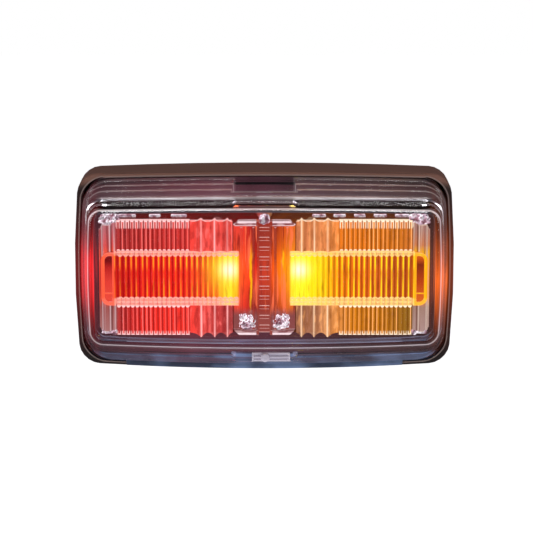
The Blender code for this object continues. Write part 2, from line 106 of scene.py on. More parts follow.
# The cover's outer and inner skins, as (y, half width, low edge, high edge, corner radius).
COVER_OUTSIDE = (
    (-15.0, 12.0, -5.0, 5.0, 1.5), (-15.0, 52.8, -27.3, 27.3, 7.6),
    (-19.0, 52.8, -27.3, 27.3, 7.6), (-19.5, 52.7, -27.1, 27.1, 7.5), (-20.1, 52.3, -26.4, 26.4, 6.8),
    (-20.4, 52.0, -25.4, 25.4, 6.0), (-21.3, 51.9, -25.2, 25.1, 5.6), (-21.5, 51.6, -24.1, 24.0, 5.0),
    (-22.3, 51.5, -23.9, 23.7, 4.9), (-22.6, 51.3, -22.6, 22.2, 4.5), (-23.5, 51.0, -21.6, 21.2, 4.2),
    (-29.9, 50.2, -20.6, 19.8, 3.6), (-30.6, 49.8, -20.2, 19.4, 3.4), (-30.95, 49.2, -19.6, 18.8, 3.2),
    (-31.15, 41.0, -16.2, 15.5, 2.6), (-31.4, 26.0, -10.2, 9.8, 1.8), (-31.55, 12.0, -4.6, 4.4, 1.2),
)
COVER_INSIDE = (
    (-14.0, 12.0, -5.0, 5.0, 1.5), (-14.0, 51.1, -25.5, 25.5, 4.8),
    (-17.8, 51.1, -25.5, 25.5, 4.8), (-18.2, 49.4, -20.1, 20.1, 3.2), (-28.9, 48.6, -19.2, 18.8, 2.4),
    (-29.4, 48.2, -18.8, 18.4, 2.1), (-29.55, 38.0, -14.7, 14.4, 1.8), (-29.75, 24.0, -9.2, 8.8, 1.5),
    (-29.85, 12.0, -4.6, 4.4, 1.2),
)


# ---------------------------------------------------------------- settings


class MarkerLampSizes(bpy.types.PropertyGroup):
    """Sizes of the parts that are modelled here."""

    rib_pitch: bpy.props.FloatProperty(
        name="Rib pitch", description="Spacing of the fine ribs", default=RIB_PITCH * MM, unit="LENGTH",
        subtype="DISTANCE")
    bar_pitch: bpy.props.FloatProperty(
        name="Bar rib pitch", description="Spacing of the light bar's ribs", default=BAR_PITCH * MM, unit="LENGTH",
        subtype="DISTANCE")
    edge: bpy.props.FloatProperty(
        name="Base edge radius", description="Softening of the base's moulded edges", default=0.35 * MM,
        unit="LENGTH", subtype="DISTANCE")


class MarkerLampColours(bpy.types.PropertyGroup):
    """Colours that a maker would change."""

    base: bpy.props.FloatVectorProperty(
        name="Base", description="Black of the deflector base", default=(0.048, 0.030, 0.026), subtype="COLOR")
    tray: bpy.props.FloatVectorProperty(
        name="Tray", description="Black of the lamp's tray", default=(0.040, 0.018, 0.022), subtype="COLOR")
    cover: bpy.props.FloatVectorProperty(
        name="Cover", description="Faint tint of the clear cover", default=(0.93, 0.90, 0.96), subtype="COLOR")
    rubber: bpy.props.FloatVectorProperty(
        name="Rubber", description="Grey of the gasket and bushes", default=(0.020, 0.020, 0.022), subtype="COLOR")


class MarkerLampStage(bpy.types.PropertyGroup):
    """The camera and the floor."""

    elevation: bpy.props.FloatProperty(
        name="Elevation", description="Camera angle above level", default=math.radians(10.0), subtype="ANGLE")
    distance: bpy.props.FloatProperty(
        name="Distance", description="Camera distance", default=0.60, unit="LENGTH", subtype="DISTANCE")
    width: bpy.props.FloatProperty(
        name="Frame width", description="Width that the camera sees at the lamp", default=0.154, unit="LENGTH",
        subtype="DISTANCE")
    floor: bpy.props.FloatProperty(
        name="Floor drop", description="How far the floor lies below the lamp's middle", default=0.16, unit="LENGTH",
        subtype="DISTANCE")


# ---------------------------------------------------------------- modelling help


def select_nothing():
    if bpy.context.object and bpy.context.object.mode != "OBJECT":
        bpy.ops.object.mode_set(mode="OBJECT")
    bpy.ops.object.select_all(action="DESELECT")


def take(piece):
    """Makes a piece the only one selected, and active."""
    select_nothing()
    piece.select_set(True)
    bpy.context.view_layer.objects.active = piece


def named(name):
    """The object that was just made, with its own name."""
    piece = bpy.context.object
    piece.name = piece.data.name = name
    return piece


def edit(piece):
    take(piece)
    bpy.ops.object.mode_set(mode="EDIT")


def leave_edit():
    bpy.ops.object.mode_set(mode="OBJECT")


def pick(piece, kind, test):
    """Selects the edit-mode faces, edges or vertices whose middle passes the test, which takes millimetres."""
    bpy.ops.mesh.select_all(action="DESELECT")
    bpy.ops.mesh.select_mode(type={"faces": "FACE", "edges": "EDGE", "verts": "VERT"}[kind])
    mesh = bmesh.from_edit_mesh(piece.data)
    for item in getattr(mesh, kind):
        if kind == "faces":
            middle = item.calc_center_median()
        elif kind == "edges":
            middle = (item.verts[0].co + item.verts[1].co) / 2
        else:
            middle = item.co
        item.select = test(*(c / MM for c in middle))
    mesh.select_flush_mode()
    bmesh.update_edit_mesh(piece.data)


def brick(name, x, y, z):
    """A cube primitive stretched between three (low, high) pairs in millimetres, with its place in its mesh."""
    select_nothing()
    middle = [(low + high) / 2 * MM for low, high in (x, y, z)]
    bpy.ops.mesh.primitive_cube_add(size=1.0, location=middle)
    piece = named(name)
    piece.scale = [(high - low) * MM for low, high in (x, y, z)]
    bpy.ops.object.transform_apply(location=True, rotation=True, scale=True)
    return piece


def tube(name, x, z, y, radius, sides):
    """A cylinder primitive along Y."""
    select_nothing()
    bpy.ops.mesh.primitive_cylinder_add(
        vertices=sides, radius=radius * MM, depth=(y[1] - y[0]) * MM,
        location=(x * MM, (y[0] + y[1]) / 2 * MM, z * MM), rotation=(math.pi / 2, 0, 0))
    bpy.ops.object.transform_apply(location=True, rotation=True, scale=True)
    return named(name)


def apply_modifier(piece, kind, **settings):
    take(piece)
    modifier = piece.modifiers.new(kind.lower(), kind)
    for key, value in settings.items():
        setattr(modifier, key, value)
    bpy.ops.object.modifier_apply(modifier=modifier.name)


def soften(piece, width, segments=2, angle=35):
    """Rounds a piece's edges by a width in millimetres."""
    apply_modifier(piece, "BEVEL", width=width * MM, segments=segments, limit_method="ANGLE",
                   angle_limit=math.radians(angle), use_clamp_overlap=True, harden_normals=False)


def soft_brick(name, x, y, z, width, segments=2):
    piece = brick(name, x, y, z)
    soften(piece, width, segments)
    return piece


def smooth(piece, angle=40):
    take(piece)
    bpy.ops.object.shade_smooth_by_angle(angle=math.radians(angle))


def crisp(piece, angle):
    """Smooth shading whose broad faces stay flat, so that only the rounded edges catch the light."""
    smooth(piece, angle)
    apply_modifier(piece, "WEIGHTED_NORMAL", mode="FACE_AREA", weight=60, keep_sharp=True)


def carve(piece, tool, operation="DIFFERENCE"):
    apply_modifier(piece, "BOOLEAN", operation=operation, object=tool, solver="EXACT")
    bpy.data.objects.remove(tool, do_unlink=True)


def joined(name, pieces):
    select_nothing()
    for piece in pieces:
        piece.select_set(True)
    bpy.context.view_layer.objects.active = pieces[0]
    if len(pieces) > 1:
        bpy.ops.object.join()
    pieces[0].name = pieces[0].data.name = name
    return pieces[0]


def repeated(piece, count, step):
    """The piece and its copies in a row along X, as one mesh."""
    apply_modifier(piece, "ARRAY", count=count, use_relative_offset=False, use_constant_offset=True,
                   constant_offset_displace=(step * MM, 0, 0))
    return piece


def copied(piece, name):
    take(piece)
    bpy.ops.object.duplicate(linked=False)
    return named(name)


def flip(piece):
    """Turns a right-hand piece into a left-hand one, with its faces outwards."""
    take(piece)
    bpy.ops.transform.resize(value=(-1, 1, 1), center_override=(0, 0, 0))
    bpy.ops.object.transform_apply(location=True, rotation=True, scale=True)
    edit(piece)
    face_outwards()


def refined(node, name, body, material, width, segments=2, angle=32):
    """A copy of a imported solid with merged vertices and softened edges, which stands for it."""
    piece = copied(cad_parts[node], name)
    for key in list(piece.keys()):
        if key.startswith("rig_"):
            del piece[key]
    piece.parent = None
    edit(piece)
    bpy.ops.mesh.select_all(action="SELECT")
    bpy.ops.mesh.remove_doubles(threshold=0.00001)
    bpy.ops.mesh.customdata_custom_splitnormals_clear()
    bpy.ops.mesh.dissolve_limited(angle_limit=math.radians(0.5))
    leave_edit()
    soften(piece, width, segments, angle)
    crisp(piece, angle)
    dress(piece, material)
    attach(piece, body)
    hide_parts(node)


def shape_shell(piece):
    """Gives a square-built shell the barrel outline and the forward bow."""
    for vertex in piece.data.vertices:
        x, y, z = (c / MM for c in vertex.co)
        across, up = x / HALF_W, z / HALF_H
        share = min(1.0, max(0.0, (y - BOW_START) / (BOW_FULL - BOW_START)))
        vertex.co = (
            x * (1 - CROWN_SHORT * up * up) * MM,
            (y - BOW * share * (1 - across * across)) * MM,
            z * (1 - CROWN_LONG * across * across) * MM,
        )
    piece.data.update()


def ring_place(length, half, radius, new_half, new_radius):
    """Where a distance from the middle goes when a round-cornered outline changes size."""
    straight, new_straight = half - radius, new_half - new_radius
    size = abs(length)
    if size <= straight:
        size *= new_straight / straight
    else:
        size = new_straight + (size - straight) * new_radius / radius
    return math.copysign(size, length)


def face_outwards():
    bpy.ops.mesh.select_all(action="SELECT")
    bpy.ops.mesh.normals_make_consistent(inside=False)
    leave_edit()


def drawn(name, rings):
    """A closed block drawn forward from a small round-cornered plate, ring by ring."""
    y, half, low, high, radius = rings[0]
    select_nothing()
    bpy.ops.mesh.primitive_plane_add(size=1.0, location=(0, y * MM, (low + high) / 2 * MM),
                                     rotation=(math.pi / 2, 0, 0))
    piece = named(name)
    piece.scale = (2 * half * MM, (high - low) * MM, 1.0)
    bpy.ops.object.transform_apply(location=True, rotation=True, scale=True)
    edit(piece)
    bpy.ops.mesh.select_all(action="SELECT")
    bpy.ops.mesh.bevel(offset=radius * MM, segments=8, affect="VERTICES")
    pick(piece, "edges", lambda px, py, pz: abs(px) < 0.5)
    bpy.ops.mesh.subdivide(number_cuts=27)
    pick(piece, "edges", lambda px, py, pz: abs(pz - (low + high) / 2) < 0.5)
    bpy.ops.mesh.subdivide(number_cuts=13)
    bpy.ops.mesh.select_mode(type="FACE")
    bpy.ops.mesh.select_all(action="SELECT")
    at = rings[0]
    for ring in rings[1:]:
        bpy.ops.mesh.extrude_region_move(TRANSFORM_OT_translate={"value": (0, (ring[0] - at[0]) * MM, 0)})
        mesh = bmesh.from_edit_mesh(piece.data)
        middle, new_middle = (at[2] + at[3]) / 2, (ring[2] + ring[3]) / 2
        for vertex in mesh.verts:
            if vertex.select:
                x, z = vertex.co.x / MM, vertex.co.z / MM - middle
                vertex.co.x = ring_place(x, at[1], at[4], ring[1], ring[4]) * MM
                vertex.co.z = (new_middle + ring_place(z, (at[3] - at[2]) / 2, at[4], (ring[3] - ring[2]) / 2,
                                                       ring[4])) * MM
        bmesh.update_edit_mesh(piece.data)
        at = ring
    face_outwards()
    shape_shell(piece)
    return piece


def dress(piece, *materials):
    piece.data.materials.clear()
    for material in materials:
        piece.data.materials.append(material)
    return piece


def dress_node(node, material):
    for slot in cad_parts[node].material_slots:
        slot.material = material


# ---------------------------------------------------------------- materials


class Value:
    """A number or colour that nodes work out, with the sums that a paint is made of."""

    def __init__(self, finish, socket):
        self.finish, self.socket = finish, socket

    def __add__(self, other):
        return self.finish.math("ADD", self, other)

    def __sub__(self, other):
        return self.finish.math("SUBTRACT", self, other)

    def __rsub__(self, other):
        return self.finish.math("SUBTRACT", other, self)

    def __mul__(self, other):
        return self.finish.math("MULTIPLY", self, other)

    def __truediv__(self, other):
        return self.finish.math("DIVIDE", self, other)

    def __pow__(self, other):
        return self.finish.math("POWER", self, other)

    def __rpow__(self, other):
        return self.finish.math("POWER", other, self)

    def __abs__(self):
        return self.finish.math("ABSOLUTE", self)

    def most(self, other):
        """The greater of two values."""
        return self.finish.math("MAXIMUM", self, other)

    def step(self, start, end):
        """0 before start, 1 after end, smooth between."""
        node = self.finish.add("MapRange", interpolation_type="SMOOTHSTEP", Value=self, From_Min=start, From_Max=end)
        return Value(self.finish, node.outputs[0])

    def near(self, middle, reach):
        """A bell round a middle value."""
        away = (self - middle) / reach
        return math.e ** (away * away * -1.0)

    def span(self, low, high):
        """Stretches 0 to 1 onto low to high."""
        return self * (high - low) + low

    def coat(self, share, colour):
        """This colour with a share of another one over it."""
        return self.finish.blend(share, self, colour)

    def lit(self, level):
        """This colour made brighter or dimmer by a level."""
        return self.finish.blend(1.0, self, self.finish.grey(level), "MULTIPLY")

    def ramp(self, stops):
        """A colour along the value. A stop is (value, red, green, blue) on display, or (value, linear colour)."""
        low, high = stops[0][0], stops[-1][0]
        share = self.finish.math("DIVIDE", self - low, high - low, clamp=True)
        node = self.finish.add("ValToRGB", Fac=share)
        elements = node.color_ramp.elements
        elements.remove(elements[-1])
        for at, *colour in stops:
            element = elements.new((at - low) / (high - low)) if at > low else elements[0]
            element.color = (*(srgb(*colour) if len(colour) == 3 else colour[0]), 1.0)
        return Value(self.finish, node.outputs[0])


class Paint:
    """Adds nodes to a node tree, and hands their results back as values."""

    def __init__(self, tree):
        self.nodes, self.links = tree.nodes, tree.links

    def add(self, kind, **values):
        """A node with its own settings, in lower case, and its inputs, which start with a capital."""
        node = self.nodes.new(f"ShaderNode{kind}")
        for key, value in values.items():
            if key.islower():
                setattr(node, key, value)
            else:
                self.join(value, node.inputs[key.replace("_", " ")])
        return node

    def join(self, value, socket):
        if isinstance(value, Value):
            self.links.new(value.socket, socket)
        elif isinstance(value, tuple) and socket.type == "RGBA":
            socket.default_value = (*value, 1.0)
        else:
            socket.default_value = value

    def split(self, vector):
        node = self.add("SeparateXYZ")
        self.links.new(vector, node.inputs[0])
        return [Value(self, output) for output in node.outputs]

    def math(self, operation, *values, clamp=False):
        node = self.add("Math", operation=operation, use_clamp=clamp)
        for value, socket in zip(values, node.inputs):
            self.join(value, socket)
        return Value(self, node.outputs[0])

    def blend(self, share, first, second, mode="MIX"):
        node = self.add("Mix", data_type="RGBA", blend_type=mode, clamp_factor=True)
        for value, index in ((share, 0), (first, 6), (second, 7)):
            self.join(value, node.inputs[index])
        return Value(self, node.outputs[2])

    def grey(self, level):
        """A level as a colour."""
        return Value(self, self.add("CombineXYZ", X=level, Y=level, Z=level).outputs[0])

    def count(self, value, start, pitch):
        """Which rib a point lies on, and how far across it, from 0 to 1."""
        turns = (value - start) / pitch
        number = self.math("FLOOR", turns)
        return number, turns - number

    def chance(self, number, seed):
        """A steady random value from 0 to 1 for each whole number."""
        node = self.add("TexWhiteNoise", noise_dimensions="1D", W=number + seed)
        return Value(self, node.outputs["Value"])


class Finish(Paint):
    """Builds one material. Its point, x, y and z are the place on the piece in millimetres."""

    def __init__(self, name):
        self.material = bpy.data.materials.new(name)
        self.material.use_nodes = True
        super().__init__(self.material.node_tree)
        self.shader = self.nodes["Principled BSDF"]
        where = self.add("TexCoord").outputs
        self.point = self.stretched(where["Object"], (1 / MM,) * 3)
        self.x, self.y, self.z = self.split(self.point)
        self.facing = self.split(where["Normal"])

    def stretched(self, vector, factors):
        node = self.add("VectorMath", operation="MULTIPLY")
        self.links.new(vector, node.inputs[0])
        node.inputs[1].default_value = factors
        return node.outputs[0]

    def set(self, **values):
        """Sets or links the shader's own inputs."""
        for key, value in values.items():
            self.join(value, self.shader.inputs[key.replace("_", " ")])

    def noise(self, scale, detail=2.0, roughness=0.5, stretch=None):
        node = self.add("TexNoise", Scale=scale, Detail=detail, Roughness=roughness)
        source = self.stretched(self.point, stretch) if stretch else self.point
        self.links.new(source, node.inputs["Vector"])
        return Value(self, node.outputs["Fac"])

    def bump(self, height, strength, distance):
        """The material, with its surface raised by a height. The distance is in millimetres."""
        node = self.add("Bump", Strength=strength, Distance=distance * MM, Height=height)
        self.links.new(node.outputs[0], self.shader.inputs["Normal"])
        return self.material


def srgb(red, green, blue):
    """A display colour from 0 to 255 as the linear colour that shaders take."""
    return tuple(((c / 255 + 0.055) / 1.055) ** 2.4 if c > 10 else c / 255 / 12.92 for c in (red, green, blue))


def shade(colour, factor):
    return tuple(c * factor for c in colour)


def spill(finish, strength):
    """Light from the lit optics that spreads over the plastic round them, red on one side and amber on the other."""
    x, y, z = finish.x, finish.y, finish.z
    colour = x.ramp(((-54.0, (0.42, 0.15, 0.18)), (-22.0, (0.7, 0.19, 0.27)), (0.0, (0.64, 0.21, 0.3)),
                     (22.0, (0.46, 0.23, 0.28)), (54.0, (0.56, 0.23, 0.16))))
    reach = x.ramp(((-56.0, (0.9,) * 3), (-46.0, (0.55,) * 3), (-20.0, (1.0,) * 3), (4.0, (0.8,) * 3),
                    (30.0, (0.55,) * 3), (46.0, (0.4,) * 3), (56.0, (0.8,) * 3)))
    mottle = finish.noise(0.12, 2.0, stretch=(1.0, 1.0, 0.5)).span(0.5, 1.5)
    level = reach * mottle * z.near(-1.0, 34.0) * y.step(-10.5, -13.0)
    finish.set(Emission_Color=colour.lit(level), Emission_Strength=strength)


def moulded_black(name, colour, roughness, grain=2.4, glow=0.0):
    """Satin black moulding: fine spark texture, faint flow marks and a little dust in the roughness."""
    finish = Finish(name)
    if glow:
        spill(finish, glow)
    fine = finish.noise(grain, 3.0)
    broad = finish.noise(0.06, 3.0, stretch=(1.0, 1.0, 2.5))
    finish.set(Base_Color=finish.blend(broad, shade(colour, 0.8), shade(colour, 1.25)))
    finish.set(Roughness=broad.span(roughness - 0.06, roughness + 0.05) + fine.span(-0.03, 0.03))
    finish.set(IOR=1.52)
    return finish.bump(fine, 0.10, 0.06)


def rubber(name, colour):
    """Matt rubber with fine pores and a pale bloom."""
    finish = Finish(name)
    pores = finish.noise(1.6, 5.0, 0.65)
    bloom = finish.noise(0.12, 3.0)
    finish.set(Base_Color=finish.blend(bloom, shade(colour, 0.8), shade(colour, 1.7)))
    finish.set(Roughness=bloom.span(0.66, 0.86))
    return finish.bump(pores, 0.35, 0.12)


def cast_resin(name, colour, roughness=0.28):
    """Poured resin: slow swirls of shade and shine."""
    finish = Finish(name)
    flow = finish.noise(0.15, 4.0)
    finish.set(Base_Color=finish.blend(flow, shade(colour, 0.7), shade(colour, 1.4)))
    finish.set(Roughness=flow.span(roughness - 0.08, roughness + 0.12))
    return finish.bump(finish.noise(0.5, 2.0), 0.12, 0.1)


def bright_metal(name, colour, roughness):
    """Plated metal with a fine grain."""
    finish = Finish(name)
    grain = finish.noise(3.0, 4.0, 0.6)
    finish.set(Base_Color=finish.blend(grain, shade(colour, 0.82), colour))
    finish.set(Roughness=grain.span(roughness - 0.08, roughness + 0.14))
    finish.set(Metallic=1.0)
    return finish.bump(grain, 0.12, 0.04)


# ---------------------------------------------------------------- stage


class MARKERLAMP_OT_stage(bpy.types.Operator):
    """Adds the pale floor, the soft lights, the surroundings and the camera"""

    bl_idname = "markerlamp.stage"
    bl_label = "Stage"

    def execute(self, context):
        stage = context.scene.marker_lamp_stage
        self.surroundings(context)
        select_nothing()
        bpy.ops.mesh.primitive_plane_add(size=6.0, location=(0, 0, -stage.floor))
        floor = context.object
        floor.name = "floor"
        finish = Finish("floor_white")
        finish.set(Base_Color=finish.blend(finish.noise(0.004, 2.0), (0.90, 0.90, 0.90), (0.94, 0.94, 0.94)))
        finish.set(Roughness=0.8, Emission_Color=(1.0, 1.0, 1.0), Emission_Strength=0.94)
        dress(floor, finish.material)
        floor.visible_glossy = False
        floor.visible_transmission = False
        for name, at, size, power in (
            ("light_top", (0.0, -0.46, 0.70), (0.80, 0.14), 3.4),
            ("light_left", (-0.75, -0.40, 0.20), (0.16, 0.60), 0.9),
            ("light_right", (0.75, -0.40, 0.20), (0.16, 0.60), 0.9),
        ):
            bpy.ops.object.light_add(type="AREA", location=at)
            lamp = context.object
            lamp.name = name
            lamp.data.shape = "RECTANGLE"
            lamp.data.size, lamp.data.size_y = size
            lamp.data.energy = power
            lamp.rotation_euler = (Vector((0, -0.02, 0)) - lamp.location).to_track_quat("-Z", "Y").to_euler()
        self.camera(context, stage)
        return {"FINISHED"}

    def surroundings(self, context):
        """A dim room for the lamp's gloss and clear parts, brighter below, above and at the sides, on plain white."""
        world = bpy.data.worlds.new("studio")
        context.scene.world = world
        world.use_nodes = True
        paint = Paint(world.node_tree)
        x, _, z = paint.split(paint.add("TexCoord").outputs["Generated"])
        level = z.step(-0.30, -0.70) * 0.30 + 0.04 + z.step(0.30, 0.90) * 0.05 + abs(x).step(0.60, 0.90) * 0.16
        room = paint.add("Background", Color=(0.88, 0.84, 1.0), Strength=level)
        backdrop = paint.add("Background", Color=(1.0, 1.0, 1.0))
        seen = paint.add("LightPath").outputs["Is Camera Ray"]
        mix = paint.add("MixShader")
        for output, socket in zip((seen, room.outputs[0], backdrop.outputs[0]), mix.inputs):
            paint.links.new(output, socket)
        paint.links.new(mix.outputs[0], paint.nodes["World Output"].inputs["Surface"])
        context.scene.view_settings.view_transform = "Standard"

    def camera(self, context, stage):
        low, high = (Vector(corner) for corner in cad_box)
        aim = (low + high) / 2 + Vector((0.0006, 0.0, 0.0004))
        towards = Vector((0, math.cos(stage.elevation), -math.sin(stage.elevation)))
        bpy.ops.object.camera_add(location=aim - towards * stage.distance,
                                  rotation=towards.to_track_quat("-Z", "Y").to_euler())
        camera = context.object
        camera.name = "camera"
        camera.data.lens = camera.data.sensor_width * stage.distance / stage.width
        context.scene.camera = camera


# ---------------------------------------------------------------- base and tray


class MARKERLAMP_OT_base(bpy.types.Operator):
    """Finishes the deflector base, its gasket and its grommet"""

    bl_idname = "markerlamp.base"
    bl_label = "Deflector base"

    def execute(self, context):
        colours = context.scene.marker_lamp_colours
        black = self.black(tuple(colours.base))
        edge = context.scene.marker_lamp_sizes.edge / MM
        soft = rubber("gasket_foam_rubber", tuple(colours.rubber))
        ring = rubber("grommet_rubber_black", shade(colours.rubber, 1.2))
        refined("deflector_base", "deflector_base_moulding", "base", black, edge, 3)
        refined("base_gasket", "gasket_sheet", "base", soft, 0.25)
        refined("cable_grommet", "grommet_ring", "base", ring, 0.15)
        return {"FINISHED"}

    def black(self, colour):
        """Satin black: paler and browner along the hood and on faces that look up, as painted light; painted shade on
        the front rim; a painted highlight round the opening; a painted shadow in the gap inside it; and the lamp's
        painted light on its ends.
        """
        finish = Finish("base_satin_black")
        x, y, z = finish.x, finish.y, finish.z
        _, ny, nz = finish.facing
        finish.set(Specular_IOR_Level=0.3, IOR=1.52)
        fine, broad = finish.noise(2.4, 3.0), finish.noise(0.06, 3.0, stretch=(1.0, 1.0, 2.5))
        plain = finish.blend(broad, shade(colour, 0.88), shade(colour, 1.14))
        level, beyond = {}, []
        for key, value, other, other_half, crown, straight in (
            ("x", x, z, HALF_H, CROWN_SHORT, STRAIGHT_W), ("z", z, x, HALF_W, CROWN_LONG, STRAIGHT_H),
        ):
            part = other / other_half
            shrink = 1.0 - part * part * crown
            level[key] = value / shrink
            over = (abs(level[key]) - straight).most(0.0)
            beyond.append(over * over)
        ring = finish.math("SQRT", beyond[0] + beyond[1]) - OPENING_RADIUS
        front = y.step(-17.5, -18.5)
        hood = level["z"].step(23.5, 27.0)
        # Painted light: faces that look up, and the hood's front, take the paler, browner lit tint.
        lit_top = nz.step(0.2, 0.75).most(hood * ny.step(-0.1, -0.5))
        plain = plain.coat(lit_top, finish.blend(broad, shade(HOOD_LIGHT_TINT, 0.9), shade(HOOD_LIGHT_TINT, 1.12)))
        # Painted shade: the front faces below the hood are drawn nearly black.
        shaded = (1.0 - hood) * ny.step(0.0, -0.35)
        body = plain.coat(shaded * 0.8, FRONT_RIM_SHADE)
        # Painted highlight along the rim round the opening.
        line = ring.near(0.16, 0.17) * front
        body = body.coat(line * 0.85, RIM_HIGHLIGHT)
        # Painted shadow in the gap between the base and the cover.
        gap = ring.step(0.02, -0.1) * front
        body = body.coat(gap, GAP_SHADOW)
        finish.set(Base_Color=body)
        finish.set(Roughness=broad.span(0.38, 0.48) + fine.span(-0.03, 0.03))
        ends = abs(x).step(50.5, 53.5)
        lit = z.near(-1.0, 13.0) * y.step(-14.0, -18.5)
        finish.set(Emission_Color=finish.blend(x.step(-10.0, 10.0), srgb(180, 30, 34), srgb(190, 74, 20)))
        finish.set(Emission_Strength=ends * lit * 0.32)
        return finish.bump(fine, 0.1, 0.06)


class MARKERLAMP_OT_tray(bpy.types.Operator):
    """Finishes the lamp's tray, bush, resin and the dark frame round the board"""

    bl_idname = "markerlamp.tray"
    bl_label = "Lamp tray"

    def execute(self, context):
        colours = context.scene.marker_lamp_colours
        tray = moulded_black("tray_black", tuple(colours.tray), 0.30, glow=0.13)
        frame_black = moulded_black("frame_plum_black", (0.050, 0.022, 0.028), 0.22, glow=0.22)
        bush = rubber("bush_rubber", tuple(colours.rubber))
        refined("lamp_housing", "tray_moulding", "lamp_unit", tray, 0.25)
        refined("cable_bush", "bush_ring", "lamp_unit", bush, 0.12)
        refined("inner_bezel", "board_frame", "lamp_unit", frame_black, 0.2)
        dress_node("potting", cast_resin("potting_resin", (0.030, 0.028, 0.030)))
        dress_node("lens_seal", moulded_black("seal_bead", (0.030, 0.020, 0.026), 0.24, glow=0.16))
        return {"FINISHED"}


# ---------------------------------------------------------------- board


class MARKERLAMP_OT_board(bpy.types.Operator):
    """Finishes the board, its parts, its screws, the light sources and the solder terminals"""

    bl_idname = "markerlamp.board"
    bl_label = "Board and parts"

    def execute(self, context):
        epoxy = moulded_black("chip_epoxy_black", (0.022, 0.022, 0.024), 0.45, 4.0)
        glaze = cast_resin("resistor_glaze", (0.05, 0.05, 0.055), 0.3)
        brown = cast_resin("capacitor_resin", (0.55, 0.33, 0.07), 0.35)
        steel = bright_metal("screw_zinc", (0.60, 0.59, 0.56), 0.30)
        red = self.source("led_red_glow", srgb(255, 120, 60))
        amber = self.source("led_amber_glow", srgb(255, 235, 120))
        refined("circuit_board", "board_laminate_sheet", "lamp_unit", self.laminate(), 0.12, 1)
        for node, word, material, slot, width in (
            ("driver_chip", "body", epoxy, "chip_epoxy", 0.12), ("rectifier", "body", epoxy, "chip_epoxy", 0.12),
            ("resistor_1", "body", glaze, "ceramic", 0.08), ("resistor_2", "body", glaze, "ceramic", 0.08),
            ("resistor_3", "body", glaze, "ceramic", 0.08), ("resistor_4", "body", glaze, "ceramic", 0.08),
            ("capacitor", "block", brown, "capacitor_body", 0.15),
            ("board_screw_top", "pan", steel, "screw_steel", 0.12),
            ("board_screw_bottom", "pan", steel, "screw_steel", 0.12),
            ("led_red", "source", red, "red_chip", 0.12), ("led_amber", "source", amber, "amber_chip", 0.12),
        ):
            refined(node, f"{node}_{word}", "lamp_unit", material, width)
        self.terminals()
        return {"FINISHED"}

    def laminate(self):
        """Solder mask over copper, lit red on one side and amber on the other by the sources."""
        finish = Finish("board_solder_mask")
        x, z = finish.x, finish.z
        tracks = finish.noise(0.22, 1.0, stretch=(1.0, 1.0, 3.0)).step(0.5, 0.56)
        finish.set(Base_Color=finish.blend(tracks, (0.04, 0.012, 0.01), (0.075, 0.026, 0.018)))
        finish.set(Roughness=finish.noise(2.5).span(0.3, 0.45))
        glow = finish.blend(x.step(-4.0, 4.0), srgb(150, 22, 18), srgb(150, 72, 12))
        reach = z.near(-1.0, 17.0) * abs(x).near(14.0, 34.0)
        finish.set(Emission_Color=glow.coat(tracks, glow.coat(0.5, (0.0, 0.0, 0.0))))
        finish.set(Emission_Strength=reach * 0.9)
        return finish.bump(tracks, 0.3, 0.08)

    def source(self, name, colour):
        """A light source, hotter at its rim than on its dome."""
        finish = Finish(name)
        dome = finish.y.step(-15.7, -16.2)
        cells = finish.noise(1.2, 2.0)
        finish.set(Base_Color=finish.blend(cells, shade(colour, 0.7), colour))
        finish.set(Emission_Color=finish.blend(cells, shade(colour, 0.8), colour))
        finish.set(Emission_Strength=dome * -5.0 + 7.0)
        finish.set(Roughness=0.15)
        return finish.material

    def terminals(self):
        """Crumpled bright solder over the two cable joints."""
        tin = bright_metal("solder_bright", (0.86, 0.82, 0.80), 0.14)
        for node, name, seed in (("terminal_left", "solder_left", 3), ("terminal_right", "solder_right", 8)):
            low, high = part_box(node)
            lump = crumpled(name, (low + high) / 2 / MM, (high - low) / 2 / MM, seed, 3, 0.20, 1.25)
            dress(lump, tin)
            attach(lump, "lamp_unit")
            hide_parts(node)


# ---------------------------------------------------------------- optics


def lit_clear(name, paint, strength, roughness=0.12):
    """Polished clear plastic that glows with the light led through it."""
    finish = Finish(name)
    finish.set(Roughness=roughness, IOR=1.58, Emission_Strength=strength)
    body = paint(finish)
    finish.set(Base_Color=body.coat(0.9, (0.0, 0.0, 0.0)))
    finish.set(Emission_Color=body)
    return finish.material


def relief_light(finish, body, low, high):
    """Flanks turned away from the middle are dimmer than crests, as in a lens that is lit from inside."""
    front = abs(finish.facing[1]) ** 1.5
    return body.lit(front.span(low, high))


# The light along the bars, by distance outwards, and down the wells at their ends, by height.
RED_BAR = (
    (6.5, 238, 62, 30), (8.2, 250, 180, 20), (10.0, 255, 230, 44), (11.7, 248, 184, 36),
    (13.4, 240, 110, 24), (16.9, 236, 74, 26), (20.4, 230, 48, 26), (24.0, 226, 30, 20),
    (34.0, 222, 26, 20), (41.0, 190, 16, 12), (46.3, 226, 58, 40),
)
AMBER_BAR = (
    (6.5, 240, 150, 0), (8.2, 252, 236, 50), (10.5, 255, 246, 40), (13.5, 253, 226, 14),
    (17.0, 248, 186, 6), (20.5, 232, 126, 6), (26.0, 220, 100, 12), (33.0, 204, 94, 24),
    (40.0, 184, 80, 20), (43.0, 200, 96, 14), (46.3, 214, 100, 10),
)
RED_WELL = ((-8.0, 216, 70, 52), (-2.0, 206, 56, 44), (2.0, 170, 30, 26), (4.0, 110, 8, 8))
AMBER_WELL = ((-8.0, 206, 96, 30), (-2.0, 168, 60, 12), (3.0, 120, 40, 8), (5.0, 190, 80, 10))


